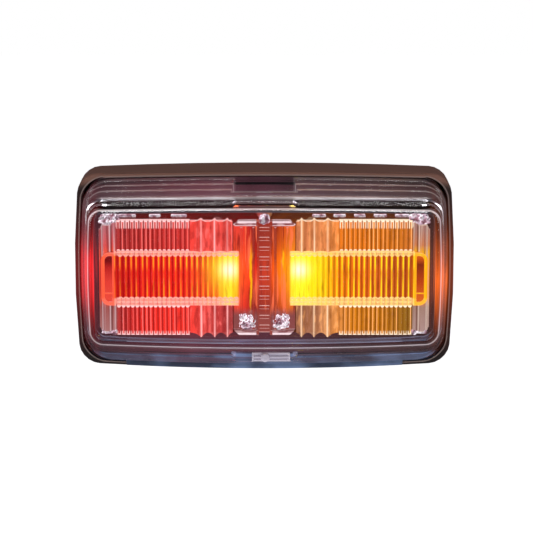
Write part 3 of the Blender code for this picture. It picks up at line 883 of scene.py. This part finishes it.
def bar_paint(side):
    """The light along a bar: hot near the source, fading outwards, with bright threads down its ribs."""

    def paint(finish):
        x, y, z = finish.x, finish.y, finish.z
        nz = finish.facing[2]
        out = x * side
        number, phase = finish.count(out, BAR_START, BAR_PITCH)
        first, second = finish.chance(number, 3.3 + side), finish.chance(number, 41.7 + side)
        body = out.ramp(RED_BAR if side < 0 else AMBER_BAR)
        away = out.step(11.0, 20.0)
        # Painted shade in the grooves between the ribs, stronger away from the source.
        gap = phase.near(0.0, 0.12).most(phase.near(1.0, 0.12))
        dark = srgb(120, 4, 6) if side < 0 else srgb(116, 34, 4)
        body = body.coat(gap * away.span(0.1, 0.62), dark)
        waver = finish.noise(0.8, 3.0, stretch=(2.0, 1.0, 0.25))
        body = body.coat(waver.step(0.52, 0.72) * 0.5, dark)
        thread = phase.near(first.span(0.42, 0.62), 0.11)
        upper = z.step(0.8, 3.6) * second.span(0.7, 1.15)
        lower = z.step(1.0, -5.0) * first.span(0.05, 0.75 if side < 0 else 1.0)
        along = upper.most(lower) + (0.14 if side < 0 else 0.62)
        yellow = out.ramp(((6.0, 255, 228, 36), (16.0, 255, 190, 40), (30.0, 255, 150, 30),
                           (47.0, 250, 120, 30))) if side < 0 else srgb(255, 212, 24)
        body = body.coat(thread * along, yellow)
        hot = out.near(10.2, 4.4) * z.near(1.7, 4.6)
        body = body.coat(hot, srgb(255, 232, 44) if side < 0 else srgb(255, 246, 26))
        core = out.near(9.9, 2.1) * z.near(1.7, 2.1)
        body = body.coat(core, srgb(255, 254, 206))
        body = body.coat(gap * hot * 0.5, srgb(240, 120, 24) if side < 0 else srgb(248, 168, 0))
        # Painted highlights: pale where the ribs' rounded tips turn up or down, and pale bands along the bar's lower
        # and upper faces.
        pale = srgb(255, 176, 158) if side < 0 else srgb(255, 214, 130)
        body = body.coat(abs(nz).step(0.25, 0.7) * 0.8, pale)
        body = body.coat(z.step(-6.3, -6.9) * finish.noise(1.1, 2.0).span(0.2, 0.9), pale)
        body = body.coat(z.step(5.5, 5.9) * 0.4, pale)
        slot = out.step(42.4, 42.8) * y.step(-28.7, -28.4)
        well = z.ramp(RED_WELL if side < 0 else AMBER_WELL)
        body = body.coat(slot, well)
        frame_light = out.step(42.3, 42.6) * (1.0 - slot)
        body = body.coat(frame_light * 0.8, srgb(250, 92, 60) if side < 0 else srgb(255, 176, 20))
        return relief_light(finish, body, 0.8, 1.12)

    return paint


def rib_paint(side):
    """Fine ribs: dimmer light above and below the bar, with painted highlights at the rounded tips of the ribs and
    along the folds' crests, and painted shade in the grooves and beside the crests.
    """
    # The dark colour is painted shade; tip and glint are the colours of painted highlights.
    if side < 0:
        upper = ((9.0, 206, 66, 56), (15.0, 222, 74, 64), (20.8, 216, 60, 50), (21.4, 184, 44, 38),
                 (30.0, 176, 42, 36), (38.0, 156, 40, 36), (47.0, 150, 44, 44))
        lower = ((9.0, 154, 56, 54), (14.0, 184, 56, 52), (20.0, 220, 60, 50), (24.0, 220, 44, 32),
                 (34.0, 212, 38, 28), (40.0, 160, 38, 34), (47.0, 140, 70, 66))
        dark, tip, glint = srgb(110, 16, 18), srgb(255, 204, 198), srgb(255, 120, 112)
    else:
        upper = ((9.0, 180, 104, 64), (15.0, 204, 124, 72), (20.8, 216, 126, 58), (21.4, 206, 106, 18),
                 (30.0, 204, 106, 12), (38.0, 190, 104, 22), (47.0, 168, 90, 48))
        lower = ((9.0, 134, 86, 62), (15.0, 158, 106, 74), (20.0, 196, 124, 60), (25.0, 194, 114, 12),
                 (34.0, 172, 104, 10), (42.0, 120, 88, 24), (47.0, 146, 108, 76))
        dark, tip, glint = srgb(112, 58, 8), srgb(255, 236, 200), srgb(252, 176, 104)

    def paint(finish):
        x, y, z = finish.x, finish.y, finish.z
        nz = finish.facing[2]
        out = x * side
        number, phase = finish.count(out, RIB_START, RIB_PITCH)
        first, second = finish.chance(number, 7.1 + side), finish.chance(number, 23.9 + side)
        body = out.ramp(lower).coat(z.step(-3.0, 1.0), out.ramp(upper))
        fine = out.step(21.0, 21.2)
        # Painted shade in the grooves between the fine ribs, then painted shadow in blotches.
        gap = phase.near(0.0, 0.15).most(phase.near(1.0, 0.15))
        body = body.coat(gap * first.span(0.4, 0.9) * fine, dark)
        shadow = finish.noise(0.22).step(0.46, 0.66) * second.span(0.0, 0.8)
        body = body.coat(shadow * fine.span(0.2, 0.65), dark)
        line = phase.near(second.span(0.3, 0.7), 0.09) * first.span(-0.1, 0.9)
        body = body.coat(line * fine, glint)
        # Painted highlights and painted shade in streaks and clouds over the wide folds.
        streaks = finish.noise(0.32, 3.0, 0.6, stretch=(2.4, 1.0, 0.1))
        wide = 1.0 - fine
        body = body.coat(streaks.step(0.55, 0.7) * (wide * 0.45), glint)
        body = body.coat(streaks.step(0.46, 0.34) * (wide * 0.28), dark)
        cloud = finish.noise(0.42, 2.0, 0.55, stretch=(1.4, 1.0, 0.55))
        body = body.coat(cloud.step(0.52, 0.66) * (wide * 0.4), glint)
        body = body.coat(cloud.step(0.46, 0.34) * (wide * 0.4), dark)
        # Painted shadow beside each fold's crest, and a painted highlight along the crest.
        for _, _, middle in PLEATS:
            beside = out.near(middle + 0.95, 0.42)
            body = body.coat(beside * wide * 0.32, dark)
            crest = out.near(middle, 0.24) * streaks.step(0.34, 0.6).span(0.35, 1.0)
            body = body.coat(crest * wide, finish.blend(0.6, glint, tip))
        # Painted highlights outlining the ribs' tips, and on their rounded tops and bottoms.
        ends = z.step(13.0, 13.6).most(z.step(-16.0, -16.6))
        outline = phase.near(0.22, 0.1).most(phase.near(0.78, 0.1))
        tip_highlight = ends * fine * (outline * second.span(0.5, 1.0))
        body = body.coat(tip_highlight, tip)
        body = body.coat(abs(nz).step(0.2, 0.55) * fine.span(0.8, 0.95), tip)
        # Painted shade on the legs behind the backing.
        body = body.coat(y.step(-24.7, -23.6) * 0.85, shade(dark, 0.5))
        return relief_light(finish, body, 0.72, 1.12)

    return paint


def column_paint(side):
    """The end column: bright where the bar meets it, and nearly clear above and below."""

    def paint(finish):
        x, z = finish.x, finish.z
        nz = finish.facing[2]
        if side < 0:
            stops = ((-17.0, 176, 120, 114), (-9.5, 164, 88, 82), (-7.0, 236, 82, 56), (0.0, 240, 60, 40),
                     (6.5, 246, 88, 62), (8.5, 226, 84, 80), (13.5, 192, 108, 112))
        else:
            stops = ((-17.0, 182, 150, 140), (-9.5, 170, 134, 116), (-7.0, 232, 136, 40), (0.0, 240, 140, 16),
                     (6.5, 248, 176, 30), (8.5, 214, 130, 80), (13.0, 176, 128, 112))
        body = z.ramp(stops)
        # Painted highlights and painted shade in vertical streaks.
        streaks = finish.noise(0.36, 3.0, 0.6, stretch=(2.6, 1.0, 0.06))
        pale = srgb(240, 208, 206) if side < 0 else srgb(246, 220, 196)
        body = body.coat(streaks.step(0.56, 0.68) * 0.55, pale)
        body = body.coat(streaks.step(0.44, 0.34) * 0.55, srgb(120, 40, 40) if side < 0 else srgb(120, 60, 30))
        out = x * side
        # Two painted highlight lines down the column, and a painted shade line in the crease beside the fillet.
        highlight_lines = out.near(43.75, 0.17).most(out.near(45.95, 0.17))
        body = body.coat(highlight_lines * 0.75, pale)
        body = body.coat(out.near(43.35, 0.16) * 0.7, srgb(100, 26, 26) if side < 0 else srgb(110, 50, 24))
        # Painted highlights where the column's rounded ends turn up or down.
        body = body.coat(abs(nz).step(0.3, 0.8) * 0.8, pale)
        return relief_light(finish, body, 0.6, 1.1)

    return paint


def facet_paint(finish):
    """Crumpled clear facets painted with white and violet sparkle and a little of the lamp's red, as painted
    reflections and light.
    """
    sparkle = finish.noise(0.55, 3.0, 0.65)
    body = sparkle.ramp(((0.25, 96, 40, 48), (0.4, 150, 100, 110), (0.5, 214, 186, 198),
                       (0.57, 255, 255, 255), (0.66, 196, 150, 160), (0.8, 150, 92, 98)))
    # Painted shade and light by which way each facet faces.
    nx, _, nz = finish.facing
    return body.lit(abs(nz - nx).span(0.42, 1.7))


def rib(name, x, y, z, round_, segments=5):
    """One rib: a brick whose front edges are rounded right over, so that its ends are scalloped."""
    piece = brick(name, x, y, z)
    edit(piece)
    front = y[0]
    pick(piece, "edges", lambda px, py, pz: py < front + 0.05)
    bpy.ops.mesh.bevel(offset=round_ * MM, segments=segments, affect="EDGES", clamp_overlap=True)
    leave_edit()
    return piece


def crumpled(name, middle, half, seed, subdivisions=2, rough=0.30, boxy=1.2):
    """A faceted lump round a middle, in millimetres. Its points are pushed in at random, and boxy squares it off."""
    select_nothing()
    bpy.ops.mesh.primitive_ico_sphere_add(subdivisions=subdivisions, radius=1.0)
    lump = named(name)
    for index, vertex in enumerate(lump.data.vertices):
        wave = math.sin(index * SCATTER[0] + seed * SCATTER[1]) * SCATTER[2]
        push = 1.0 - rough + rough * (wave - math.floor(wave))
        direction = vertex.co.normalized()
        vertex.co = [(middle[i] + half[i] * max(-1.0, min(1.0, direction[i] * boxy)) * push) * MM for i in range(3)]
    return lump


class MARKERLAMP_OT_rib_optics(bpy.types.Operator):
    """Models the clear mouldings with fine ribs, wide pleats and a round end column"""

    bl_idname = "markerlamp.rib_optics"
    bl_label = "Rib optics"

    def execute(self, context):
        pitch = context.scene.marker_lamp_sizes.rib_pitch / MM
        facets = lit_clear("facets_clear", facet_paint, 0.85)
        for side, word in ((1, "right"), (-1, "left")):
            piece = self.moulding(pitch, side, facets)
            if side < 0:
                flip(piece)
            piece.name = piece.data.name = f"rib_moulding_{word}"
            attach(piece, "lamp_unit")
            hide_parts(f"rib_optic_{word}")
        return {"FINISHED"}

    def moulding(self, pitch, side, facets):
        word = "right" if side > 0 else "left"
        parts = []
        for index, heights in enumerate(((6.9, 15.5), (-17.4, -9.0))):
            one = rib(f"fine_rib_{index}", (RIB_START, RIB_START + pitch * RIB_FILL), (-27.9, -25.0), heights, 0.60)
            parts.append(repeated(one, RIB_COUNT, pitch))
        parts += [self.pleat(*sizes) for sizes in PLEATS]
        parts.append(soft_brick("backing", (9.2, 42.3), (-25.4, -24.4), (-17.0, 15.2), 0.2))
        for x, z in ((42.4, 12.5), (42.4, -13.5), (13.5, 13.0), (13.5, -14.5)):
            leg = tube(f"leg_{x}_{z}", x, z, (-24.8, -14.3), 1.4, 20)
            soften(leg, 0.15)
            parts.append(leg)
        for part in parts:
            smooth(part)
        ribs = joined("ribs", parts)
        dress(ribs, lit_clear(f"ribs_clear_{word}", rib_paint(side), 1.50))
        column = self.column()
        dress(column, lit_clear(f"column_clear_{word}", column_paint(side), 1.0, 0.08))
        bosses = [crumpled("boss", (x, -26.4, z), half, *how) for x, z, half, how in (
            (44.7, 15.6, (2.3, 1.8, 1.8), (5, 3, 0.42)), (42.3, 16.0, (1.5, 1.4, 1.4), (9, 3, 0.42)),
            (44.9, -16.5, (1.7, 1.4, 0.9), (2,)), (42.6, -16.8, (1.0, 1.2, 0.8), (4,)))]
        for low, high in TABS[side]:
            bosses.append(soft_brick(f"tab_{low}", (low, high), (-26.9, -25.0), (16.3, 16.95), 0.22))
        boss = joined("facets", bosses)
        dress(boss, facets)
        return joined("moulding", [ribs, column, boss])

    def pleat(self, low, high, crest):
        """A wide fold with hollow flanks that rise to a sharp crest, which also stands higher at both ends."""
        fold = brick(f"pleat_{crest}", (low, high), (-28.0, -25.0), (-17.0, 14.9))
        edit(fold)
        pick(fold, "edges", lambda x, y, z: abs(x - (low + high) / 2) < 0.01)
        bpy.ops.mesh.subdivide(number_cuts=15)
        leave_edit()
        for vertex in fold.data.vertices:
            x, y, z = (c / MM for c in vertex.co)
            rise = max(0.0, min((x - low) / (crest - low), (high - x) / (high - crest)))
            if y < -27.0:
                y = -26.2 - 2.1 * rise ** 1.7
            z += math.copysign(1.0, z) * rise ** 2.2
            vertex.co = (x * MM, y * MM, z * MM)
        fold.data.update()
        return fold

    def column(self):
        """The round end column, with a narrow fillet beside it and a thin outer bead."""
        parts = []
        for x, radius, low, high in (
            (44.7, 1.55, -16.6, 14.4), (42.75, 0.60, -16.9, 14.8), (46.55, 0.35, -15.4, 13.0),
        ):
            select_nothing()
            bpy.ops.mesh.primitive_cylinder_add(
                vertices=32, radius=radius * MM, depth=(high - low) * MM,
                location=(x * MM, -26.4 * MM, (low + high) / 2 * MM))
            post = bpy.context.object
            bpy.ops.object.transform_apply(location=True, rotation=True, scale=True)
            soften(post, radius * 0.4, 3)
            smooth(post, 50)
            parts.append(post)
        parts.append(soft_brick("column_web", (42.2, 46.6), (-25.6, -24.6), (-16.4, 13.4), 0.2))
        return joined("end_column", parts)


class MARKERLAMP_OT_light_bars(bpy.types.Operator):
    """Models the ribbed bars that carry the light outwards"""

    bl_idname = "markerlamp.light_bars"
    bl_label = "Light bars"

    def execute(self, context):
        pitch = context.scene.marker_lamp_sizes.bar_pitch / MM
        right = self.bar(pitch)
        left = copied(right, "bar_moulding_left")
        flip(left)
        for piece, side, node in ((left, -1, "light_bar_left"), (right, 1, "light_bar_right")):
            smooth(piece)
            dress(piece, lit_clear(f"{node}_clear", bar_paint(side), 1.28))
            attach(piece, "lamp_unit")
            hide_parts(node)
        return {"FINISHED"}

    def bar(self, pitch):
        one = rib("bar_rib", (BAR_START, BAR_START + pitch * RIB_FILL), (-29.3, -27.4), (-6.5, 5.9), 0.70)
        parts = [repeated(one, BAR_RIBS, pitch)]
        parts.append(soft_brick("bar_core", (BAR_START, 42.0), (-28.3, -25.9), (-8.5, 6.6), 0.5, 3))
        for name, front, z, radius in (
            ("bar_middle_rib", -29.1, (-7.6, -6.5), 0.45), ("bar_lower_rib", -29.0, (-8.7, -7.6), 0.5),
            ("bar_upper_rib", -28.9, (5.8, 6.6), 0.35),
        ):
            one = rib(name, (BAND_START, BAND_START + BAND_PITCH - 0.01), (front, -27.4), z, radius)
            parts.append(repeated(one, BAND_RIBS, BAND_PITCH))
        end = brick("bar_end", (42.0, 46.2), (-29.0, -25.9), (-8.7, 6.6))
        edit(end)
        pick(end, "edges", lambda x, y, z: x > 46.1 and abs(abs(z + 1.05) - 7.65) < 0.1 and -28.9 < y < -26.0)
        bpy.ops.mesh.bevel(offset=2.4 * MM, segments=8, affect="EDGES")
        pick(end, "faces", lambda x, y, z: y < -28.9)
        bpy.ops.mesh.inset(thickness=1.05 * MM, depth=0)
        bpy.ops.mesh.extrude_region_move(TRANSFORM_OT_translate={"value": (0, 0.75 * MM, 0)})
        leave_edit()
        soften(end, 0.3, 3)
        parts.append(end)
        parts.append(soft_brick("bar_end_rung", (42.9, 45.3), (-28.7, -27.9), (-5.4, -5.0), 0.12))
        return joined("bar_moulding_right", parts)


class MARKERLAMP_OT_bridge(bpy.types.Operator):
    """Models the middle moulding: two ledges, a column with plain raised rungs, two rails and a lit panel"""

    bl_idname = "markerlamp.bridge"
    bl_label = "Middle moulding"

    def execute(self, context):
        parts = []
        for side in (-1, 1):
            for low, high in ((14.0, 15.4), (-17.3, -16.0)):
                outer = side * 8.6
                ledge = brick("ledge", sorted((side * 1.5, outer)), (-28.3, -24.6), (low, high))
                edit(ledge)
                pick(ledge, "verts", lambda x, y, z: abs(x - outer) < 0.1 and (z > 15.0 or z < -17.0))
                bpy.ops.transform.translate(value=(-side * 1.4 * MM, 0, 0))
                leave_edit()
                soften(ledge, 0.22)
                parts.append(ledge)
            for middle, half, front in ((6.5, 0.45, -28.0), (3.1, 0.35, -28.2), (5.0, 0.25, -27.4)):
                x = (side * middle - half, side * middle + half)
                parts.append(soft_brick("rail", x, (front, -26.0), (-15.8, 13.6), 0.22, 3))
        parts.append(soft_brick("column", (-2.1, 2.1), (-28.2, -26.0), (-16.6, 15.2), 0.5, 3))
        for index in range(RUNGS):
            z = RUNG_START + index * RUNG_PITCH
            parts.append(soft_brick(f"rung_{index}", (-1.5, 1.5), (-28.7, -28.0), (z - 0.55, z + 0.55), 0.28, 3))
        parts.append(soft_brick("panel", (-8.8, 8.8), (-25.8, -24.9), (-16.2, 14.4), 0.2))
        for part in parts:
            smooth(part)
        body = joined("middle", parts)
        dress(body, lit_clear("middle_clear", self.paint, 1.25))
        lumps = []
        for side in (-1, 1):
            for x, z, half, seed in (
                (4.8, -14.1, (2.5, 0.95, 1.7), 1), (6.0, -12.3, (1.2, 0.95, 1.3), 5), (3.9, -12.5, (1.0, 0.95, 1.1), 7),
            ):
                lumps.append(crumpled("well_facets", (side * x, -27.7, z), half, seed + side, 3, 0.4))
        lumps.append(crumpled("column_boss", (0.0, -27.7, 15.9), (1.7, 0.9, 1.7), 11, 2, 0.35))
        well = joined("well_facets", lumps)
        dress(well, lit_clear("well_facets_clear", facet_paint, 1.15))
        piece = joined("middle_moulding", [body, well])
        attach(piece, "lamp_unit")
        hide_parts("centre_bridge")
        return {"FINISHED"}

    def paint(self, finish):
        """Red to amber light across the panel, with darker rungs, painted highlights on the rungs' rims, and nearly
        clear ledges painted with the light seen in them and with white highlights along their edges.
        """
        x, y, z = finish.x, finish.y, finish.z
        nz = finish.facing[2]
        across = x.ramp(((-7.0, 250, 96, 36), (-5.0, 248, 70, 28), (-2.4, 206, 40, 22),
                         (1.5, 214, 62, 20), (4.0, 252, 110, 10), (7.0, 252, 156, 8)))
        edge = x.ramp(((-7.0, 216, 60, 46), (-5.6, 206, 44, 32), (-3.0, 128, 22, 18),
                       (3.0, 138, 40, 18), (5.6, 196, 74, 22), (7.0, 206, 92, 30)))
        body = finish.blend(z.near(0.5, 7.0), edge, across)
        streaks = finish.noise(0.32, 2.0, 0.5, stretch=(2.2, 1.0, 0.22))
        body = body.coat(streaks.step(0.47, 0.34) * 0.75, srgb(120, 16, 12))
        body = body.coat(streaks.step(0.56, 0.66) * 0.6, srgb(255, 120, 76))
        bent = x + finish.noise(0.22, 2.0).span(-0.9, 0.9)
        thread = bent.near(-3.8, 0.42) * z.near(-1.5, 8.8)
        spot = bent.near(5.4, 0.42) * z.near(4.4, 2.6)
        thread = thread.most(spot)
        body = body.coat(thread.step(0.1, 0.8) * 0.75, srgb(255, 186, 10))
        body = body.coat(z.step(-9.0, -12.5), srgb(128, 66, 62))
        body = body.coat(y.step(-27.9, -28.3) * 0.5, srgb(150, 62, 48))
        # Painted highlights on the rungs' rims, where they turn up or down.
        rims = abs(nz).step(0.3, 0.7) * y.step(-27.6, -28.1)
        body = body.coat(rims * 0.75, srgb(250, 196, 184))
        wide = abs(x).step(2.2, 2.4)
        ledge = wide * z.step(13.7, 13.95).most(z.step(-15.85, -16.0))
        # Painted light and reflection for the nearly clear ledges, with painted white highlights along their edges.
        cloud = finish.noise(0.7, 2.0, stretch=(0.5, 1.0, 1.6))
        clear = finish.blend(cloud.step(0.4, 0.62), srgb(126, 70, 72), srgb(186, 150, 148))
        rim_z = z.near(15.15, 0.26).most(z.near(-16.95, 0.3))
        clear = clear.coat(rim_z.most(z.near(14.08, 0.1)), srgb(255, 236, 236))
        body = body.coat(ledge * 0.92, clear)
        return relief_light(finish, body, 0.6, 1.1)


# ---------------------------------------------------------------- cover


# Light that the cover's edges gather, by how far forward the edge lies before the bow: (y, level).
WINDOW_LIGHT = ((-31.2, 0.0), (-30.72, 0.0), (-30.52, 0.62), (-30.30, 0.70), (-30.10, 0.10), (-29.9, 0.0))
STEP_LIGHT = (
    (-24.0, 0.0), (-23.6, 0.04), (-23.3, 0.24), (-22.95, 0.40), (-22.65, 0.08), (-22.45, 0.02), (-22.2, 0.04),
    (-21.95, 0.24), (-21.75, 0.20), (-21.5, 0.02), (-21.3, 0.01), (-21.05, 0.03), (-20.85, 0.24), (-20.6, 0.20),
    (-20.4, 0.02), (-20.1, 0.01), (-19.9, 0.08), (-19.6, 0.02), (-19.2, 0.0),
)


def clear_cover(tint):
    """Polished clear polycarbonate. Its edges gather light, and the bars' light leaks into its end walls."""
    finish = Finish("cover_clear_polycarbonate")
    x, y, z = finish.x, finish.y, finish.z
    finish.set(Base_Color=tint, IOR=1.52, Transmission_Weight=1.0)
    finish.set(Roughness=finish.noise(0.25, 3.0).span(0.01, 0.04))
    wide, tall = abs(x), abs(z)
    across = x / HALF_W
    forward = y + (1.0 - across * across) * BOW
    window = forward.ramp([(at, (level,) * 3) for at, level in WINDOW_LIGHT])
    steps = forward.ramp([(at, (level,) * 3) for at, level in STEP_LIGHT])
    outer = forward.step(-29.75, -29.95).most(wide.step(49.7, 50.0).most(tall.step(20.9, 21.2)))
    upper, lower = z.step(12.0, 19.0), z.step(-10.0, -17.0)
    waver = finish.noise(0.1, 3.0, 0.6).span(0.35, 1.35) * outer
    lit_window = window.lit(waver * (upper * 0.35 + (lower * 0.2 + 0.62)))
    lit_steps = steps.lit(waver * (upper * 0.78 + 0.22 - lower * 0.12))
    edges = finish.blend(1.0, finish.blend(1.0, lit_window, lit_steps, "ADD"), (1.0, 0.86, 0.88), "MULTIPLY")
    streaks = finish.noise(0.85, 2.0, 0.6, stretch=(1.2, 0.0, 0.035))
    ends = wide.step(46.4, 48.2) * streaks.step(0.4, 0.62).span(0.1, 1.5)
    level = z.near(-0.5, 9.0) + z.near(-2.0, 20.0) * 0.12
    glow = finish.blend(x.step(-10.0, 10.0), srgb(235, 34, 34), srgb(226, 96, 20))
    leak = glow.lit(ends * level * 0.26)
    patches = finish.noise(0.11, 2.0, stretch=(1.0, 0.3, 2.0)).step(0.4, 0.66).span(0.35, 1.5)
    skirt = z.step(-23.4, -24.6) * forward.step(-22.6, -22.2)
    sheen = finish.blend(1.0, (0.026, 0.038, 0.066), finish.grey(skirt * patches), "MULTIPLY")
    leak = finish.blend(1.0, leak, sheen, "ADD")
    finish.set(Emission_Color=finish.blend(1.0, edges, leak, "ADD"), Emission_Strength=1.0)
    return finish.material


class MARKERLAMP_OT_cover(bpy.types.Operator):
    """Models the clear cover with its stepped border, raised window and two recesses"""

    bl_idname = "markerlamp.cover"
    bl_label = "Clear cover"

    def execute(self, context):
        cover = drawn("clear_cover", COVER_OUTSIDE)
        soften(cover, 0.13, 3, 20)
        carve(cover, drawn("cover_hollow", COVER_INSIDE))
        carve(cover, self.recess("top_recess", (-30.0, -21.8), (23.0, 32.0)))
        carve(cover, self.recess("low_recess", (-30.0, -22.0), (-26.9, -23.0)))
        lip = brick("skirt_lip", (-40.9, 40.9), (-19.3, -15.2), (-28.65, -26.5))
        edit(lip)
        pick(lip, "edges", lambda x, y, z: abs(x) < 1.0)
        bpy.ops.mesh.subdivide(number_cuts=23)
        leave_edit()
        shape_shell(lip)
        carve(cover, lip, "UNION")
        crisp(cover, 40)
        dress(cover, clear_cover(tuple(context.scene.marker_lamp_colours.cover)))
        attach(cover, "lamp_unit")
        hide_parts("outer_lens")
        return {"FINISHED"}

    def recess(self, name, y, z):
        """A cutter that widens towards the front, so that the recess has slanted ends."""
        tool = brick(name, (-8.2, 8.2), y, z)
        edit(tool)
        pick(tool, "verts", lambda px, py, pz: py < y[0] + 0.1)
        bpy.ops.transform.resize(value=(1.45, 1.0, 1.0), center_override=(0, y[0] * MM, 0))
        leave_edit()
        return tool


class MARKERLAMP_OT_catch(bpy.types.Operator):
    """Models the small clear catch in the lower recess"""

    bl_idname = "markerlamp.catch"
    bl_label = "Release catch"

    def execute(self, context):
        bar = brick("catch_bar", (-3.6, 7.4), (-23.3, -22.3), (-26.3, -23.7))
        edit(bar)
        pick(bar, "faces", lambda x, y, z: y < -23.2)
        bpy.ops.mesh.inset(thickness=0.55 * MM, depth=0)
        bpy.ops.mesh.extrude_region_move(TRANSFORM_OT_translate={"value": (0, 0.45 * MM, 0)})
        leave_edit()
        soften(bar, 0.14, 2)
        rail = brick("catch_rail", (-3.0, 6.9), (-23.5, -22.6), (-25.25, -24.75))
        soften(rail, 0.14, 2)
        knob = tube("catch_knob", 0.2, -25.0, (-24.4, -22.6), 1.3, 28)
        soften(knob, 0.4, 3)
        piece = joined("catch_moulding", [bar, rail, knob])
        smooth(piece)
        finish = Finish("catch_clear")
        cloud = finish.noise(0.6, 3.0)
        finish.set(Base_Color=finish.blend(cloud, (0.42, 0.38, 0.46), (0.60, 0.56, 0.66)))
        finish.set(Roughness=cloud.span(0.08, 0.2))
        # The faint violet emission is painted light on the clear catch.
        finish.set(IOR=1.52, Emission_Color=(0.75, 0.70, 0.85), Emission_Strength=0.10)
        dress(piece, finish.material)
        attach(piece, "lamp_unit")
        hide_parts("release_catch")
        return {"FINISHED"}


# ---------------------------------------------------------------- panel and run


BUILD_ORDER = ("base", "tray", "board", "rib_optics", "light_bars", "bridge", "cover", "catch", "stage")


class MARKERLAMP_PT_panel(bpy.types.Panel):
    """Lists the lamp's settings and the steps that make it"""

    bl_idname = "MARKERLAMP_PT_panel"
    bl_label = "Marker Lamp"
    bl_space_type = "VIEW_3D"
    bl_region_type = "UI"
    bl_category = "Marker Lamp"

    def draw(self, context):
        layout = self.layout
        scene = context.scene
        for group in (scene.marker_lamp_sizes, scene.marker_lamp_colours, scene.marker_lamp_stage):
            box = layout.box()
            for name in group.bl_rna.properties.keys():
                if name not in ("rna_type", "name"):
                    box.prop(group, name)
        for step in BUILD_ORDER:
            layout.operator(f"markerlamp.{step}")


CLASSES = (
    MarkerLampSizes, MarkerLampColours, MarkerLampStage, MARKERLAMP_OT_base, MARKERLAMP_OT_tray, MARKERLAMP_OT_board,
    MARKERLAMP_OT_rib_optics, MARKERLAMP_OT_light_bars, MARKERLAMP_OT_bridge, MARKERLAMP_OT_cover,
    MARKERLAMP_OT_catch, MARKERLAMP_OT_stage, MARKERLAMP_PT_panel,
)


def register():
    for cls in CLASSES:
        bpy.utils.register_class(cls)
    bpy.types.Scene.marker_lamp_sizes = bpy.props.PointerProperty(type=MarkerLampSizes)
    bpy.types.Scene.marker_lamp_colours = bpy.props.PointerProperty(type=MarkerLampColours)
    bpy.types.Scene.marker_lamp_stage = bpy.props.PointerProperty(type=MarkerLampStage)


def unregister():
    del bpy.types.Scene.marker_lamp_stage
    del bpy.types.Scene.marker_lamp_colours
    del bpy.types.Scene.marker_lamp_sizes
    for cls in reversed(CLASSES):
        bpy.utils.unregister_class(cls)


def main():
    register()
    for step in BUILD_ORDER:
        getattr(bpy.ops.markerlamp, step)()
    select_nothing()


if __name__ == "__main__":
    main()
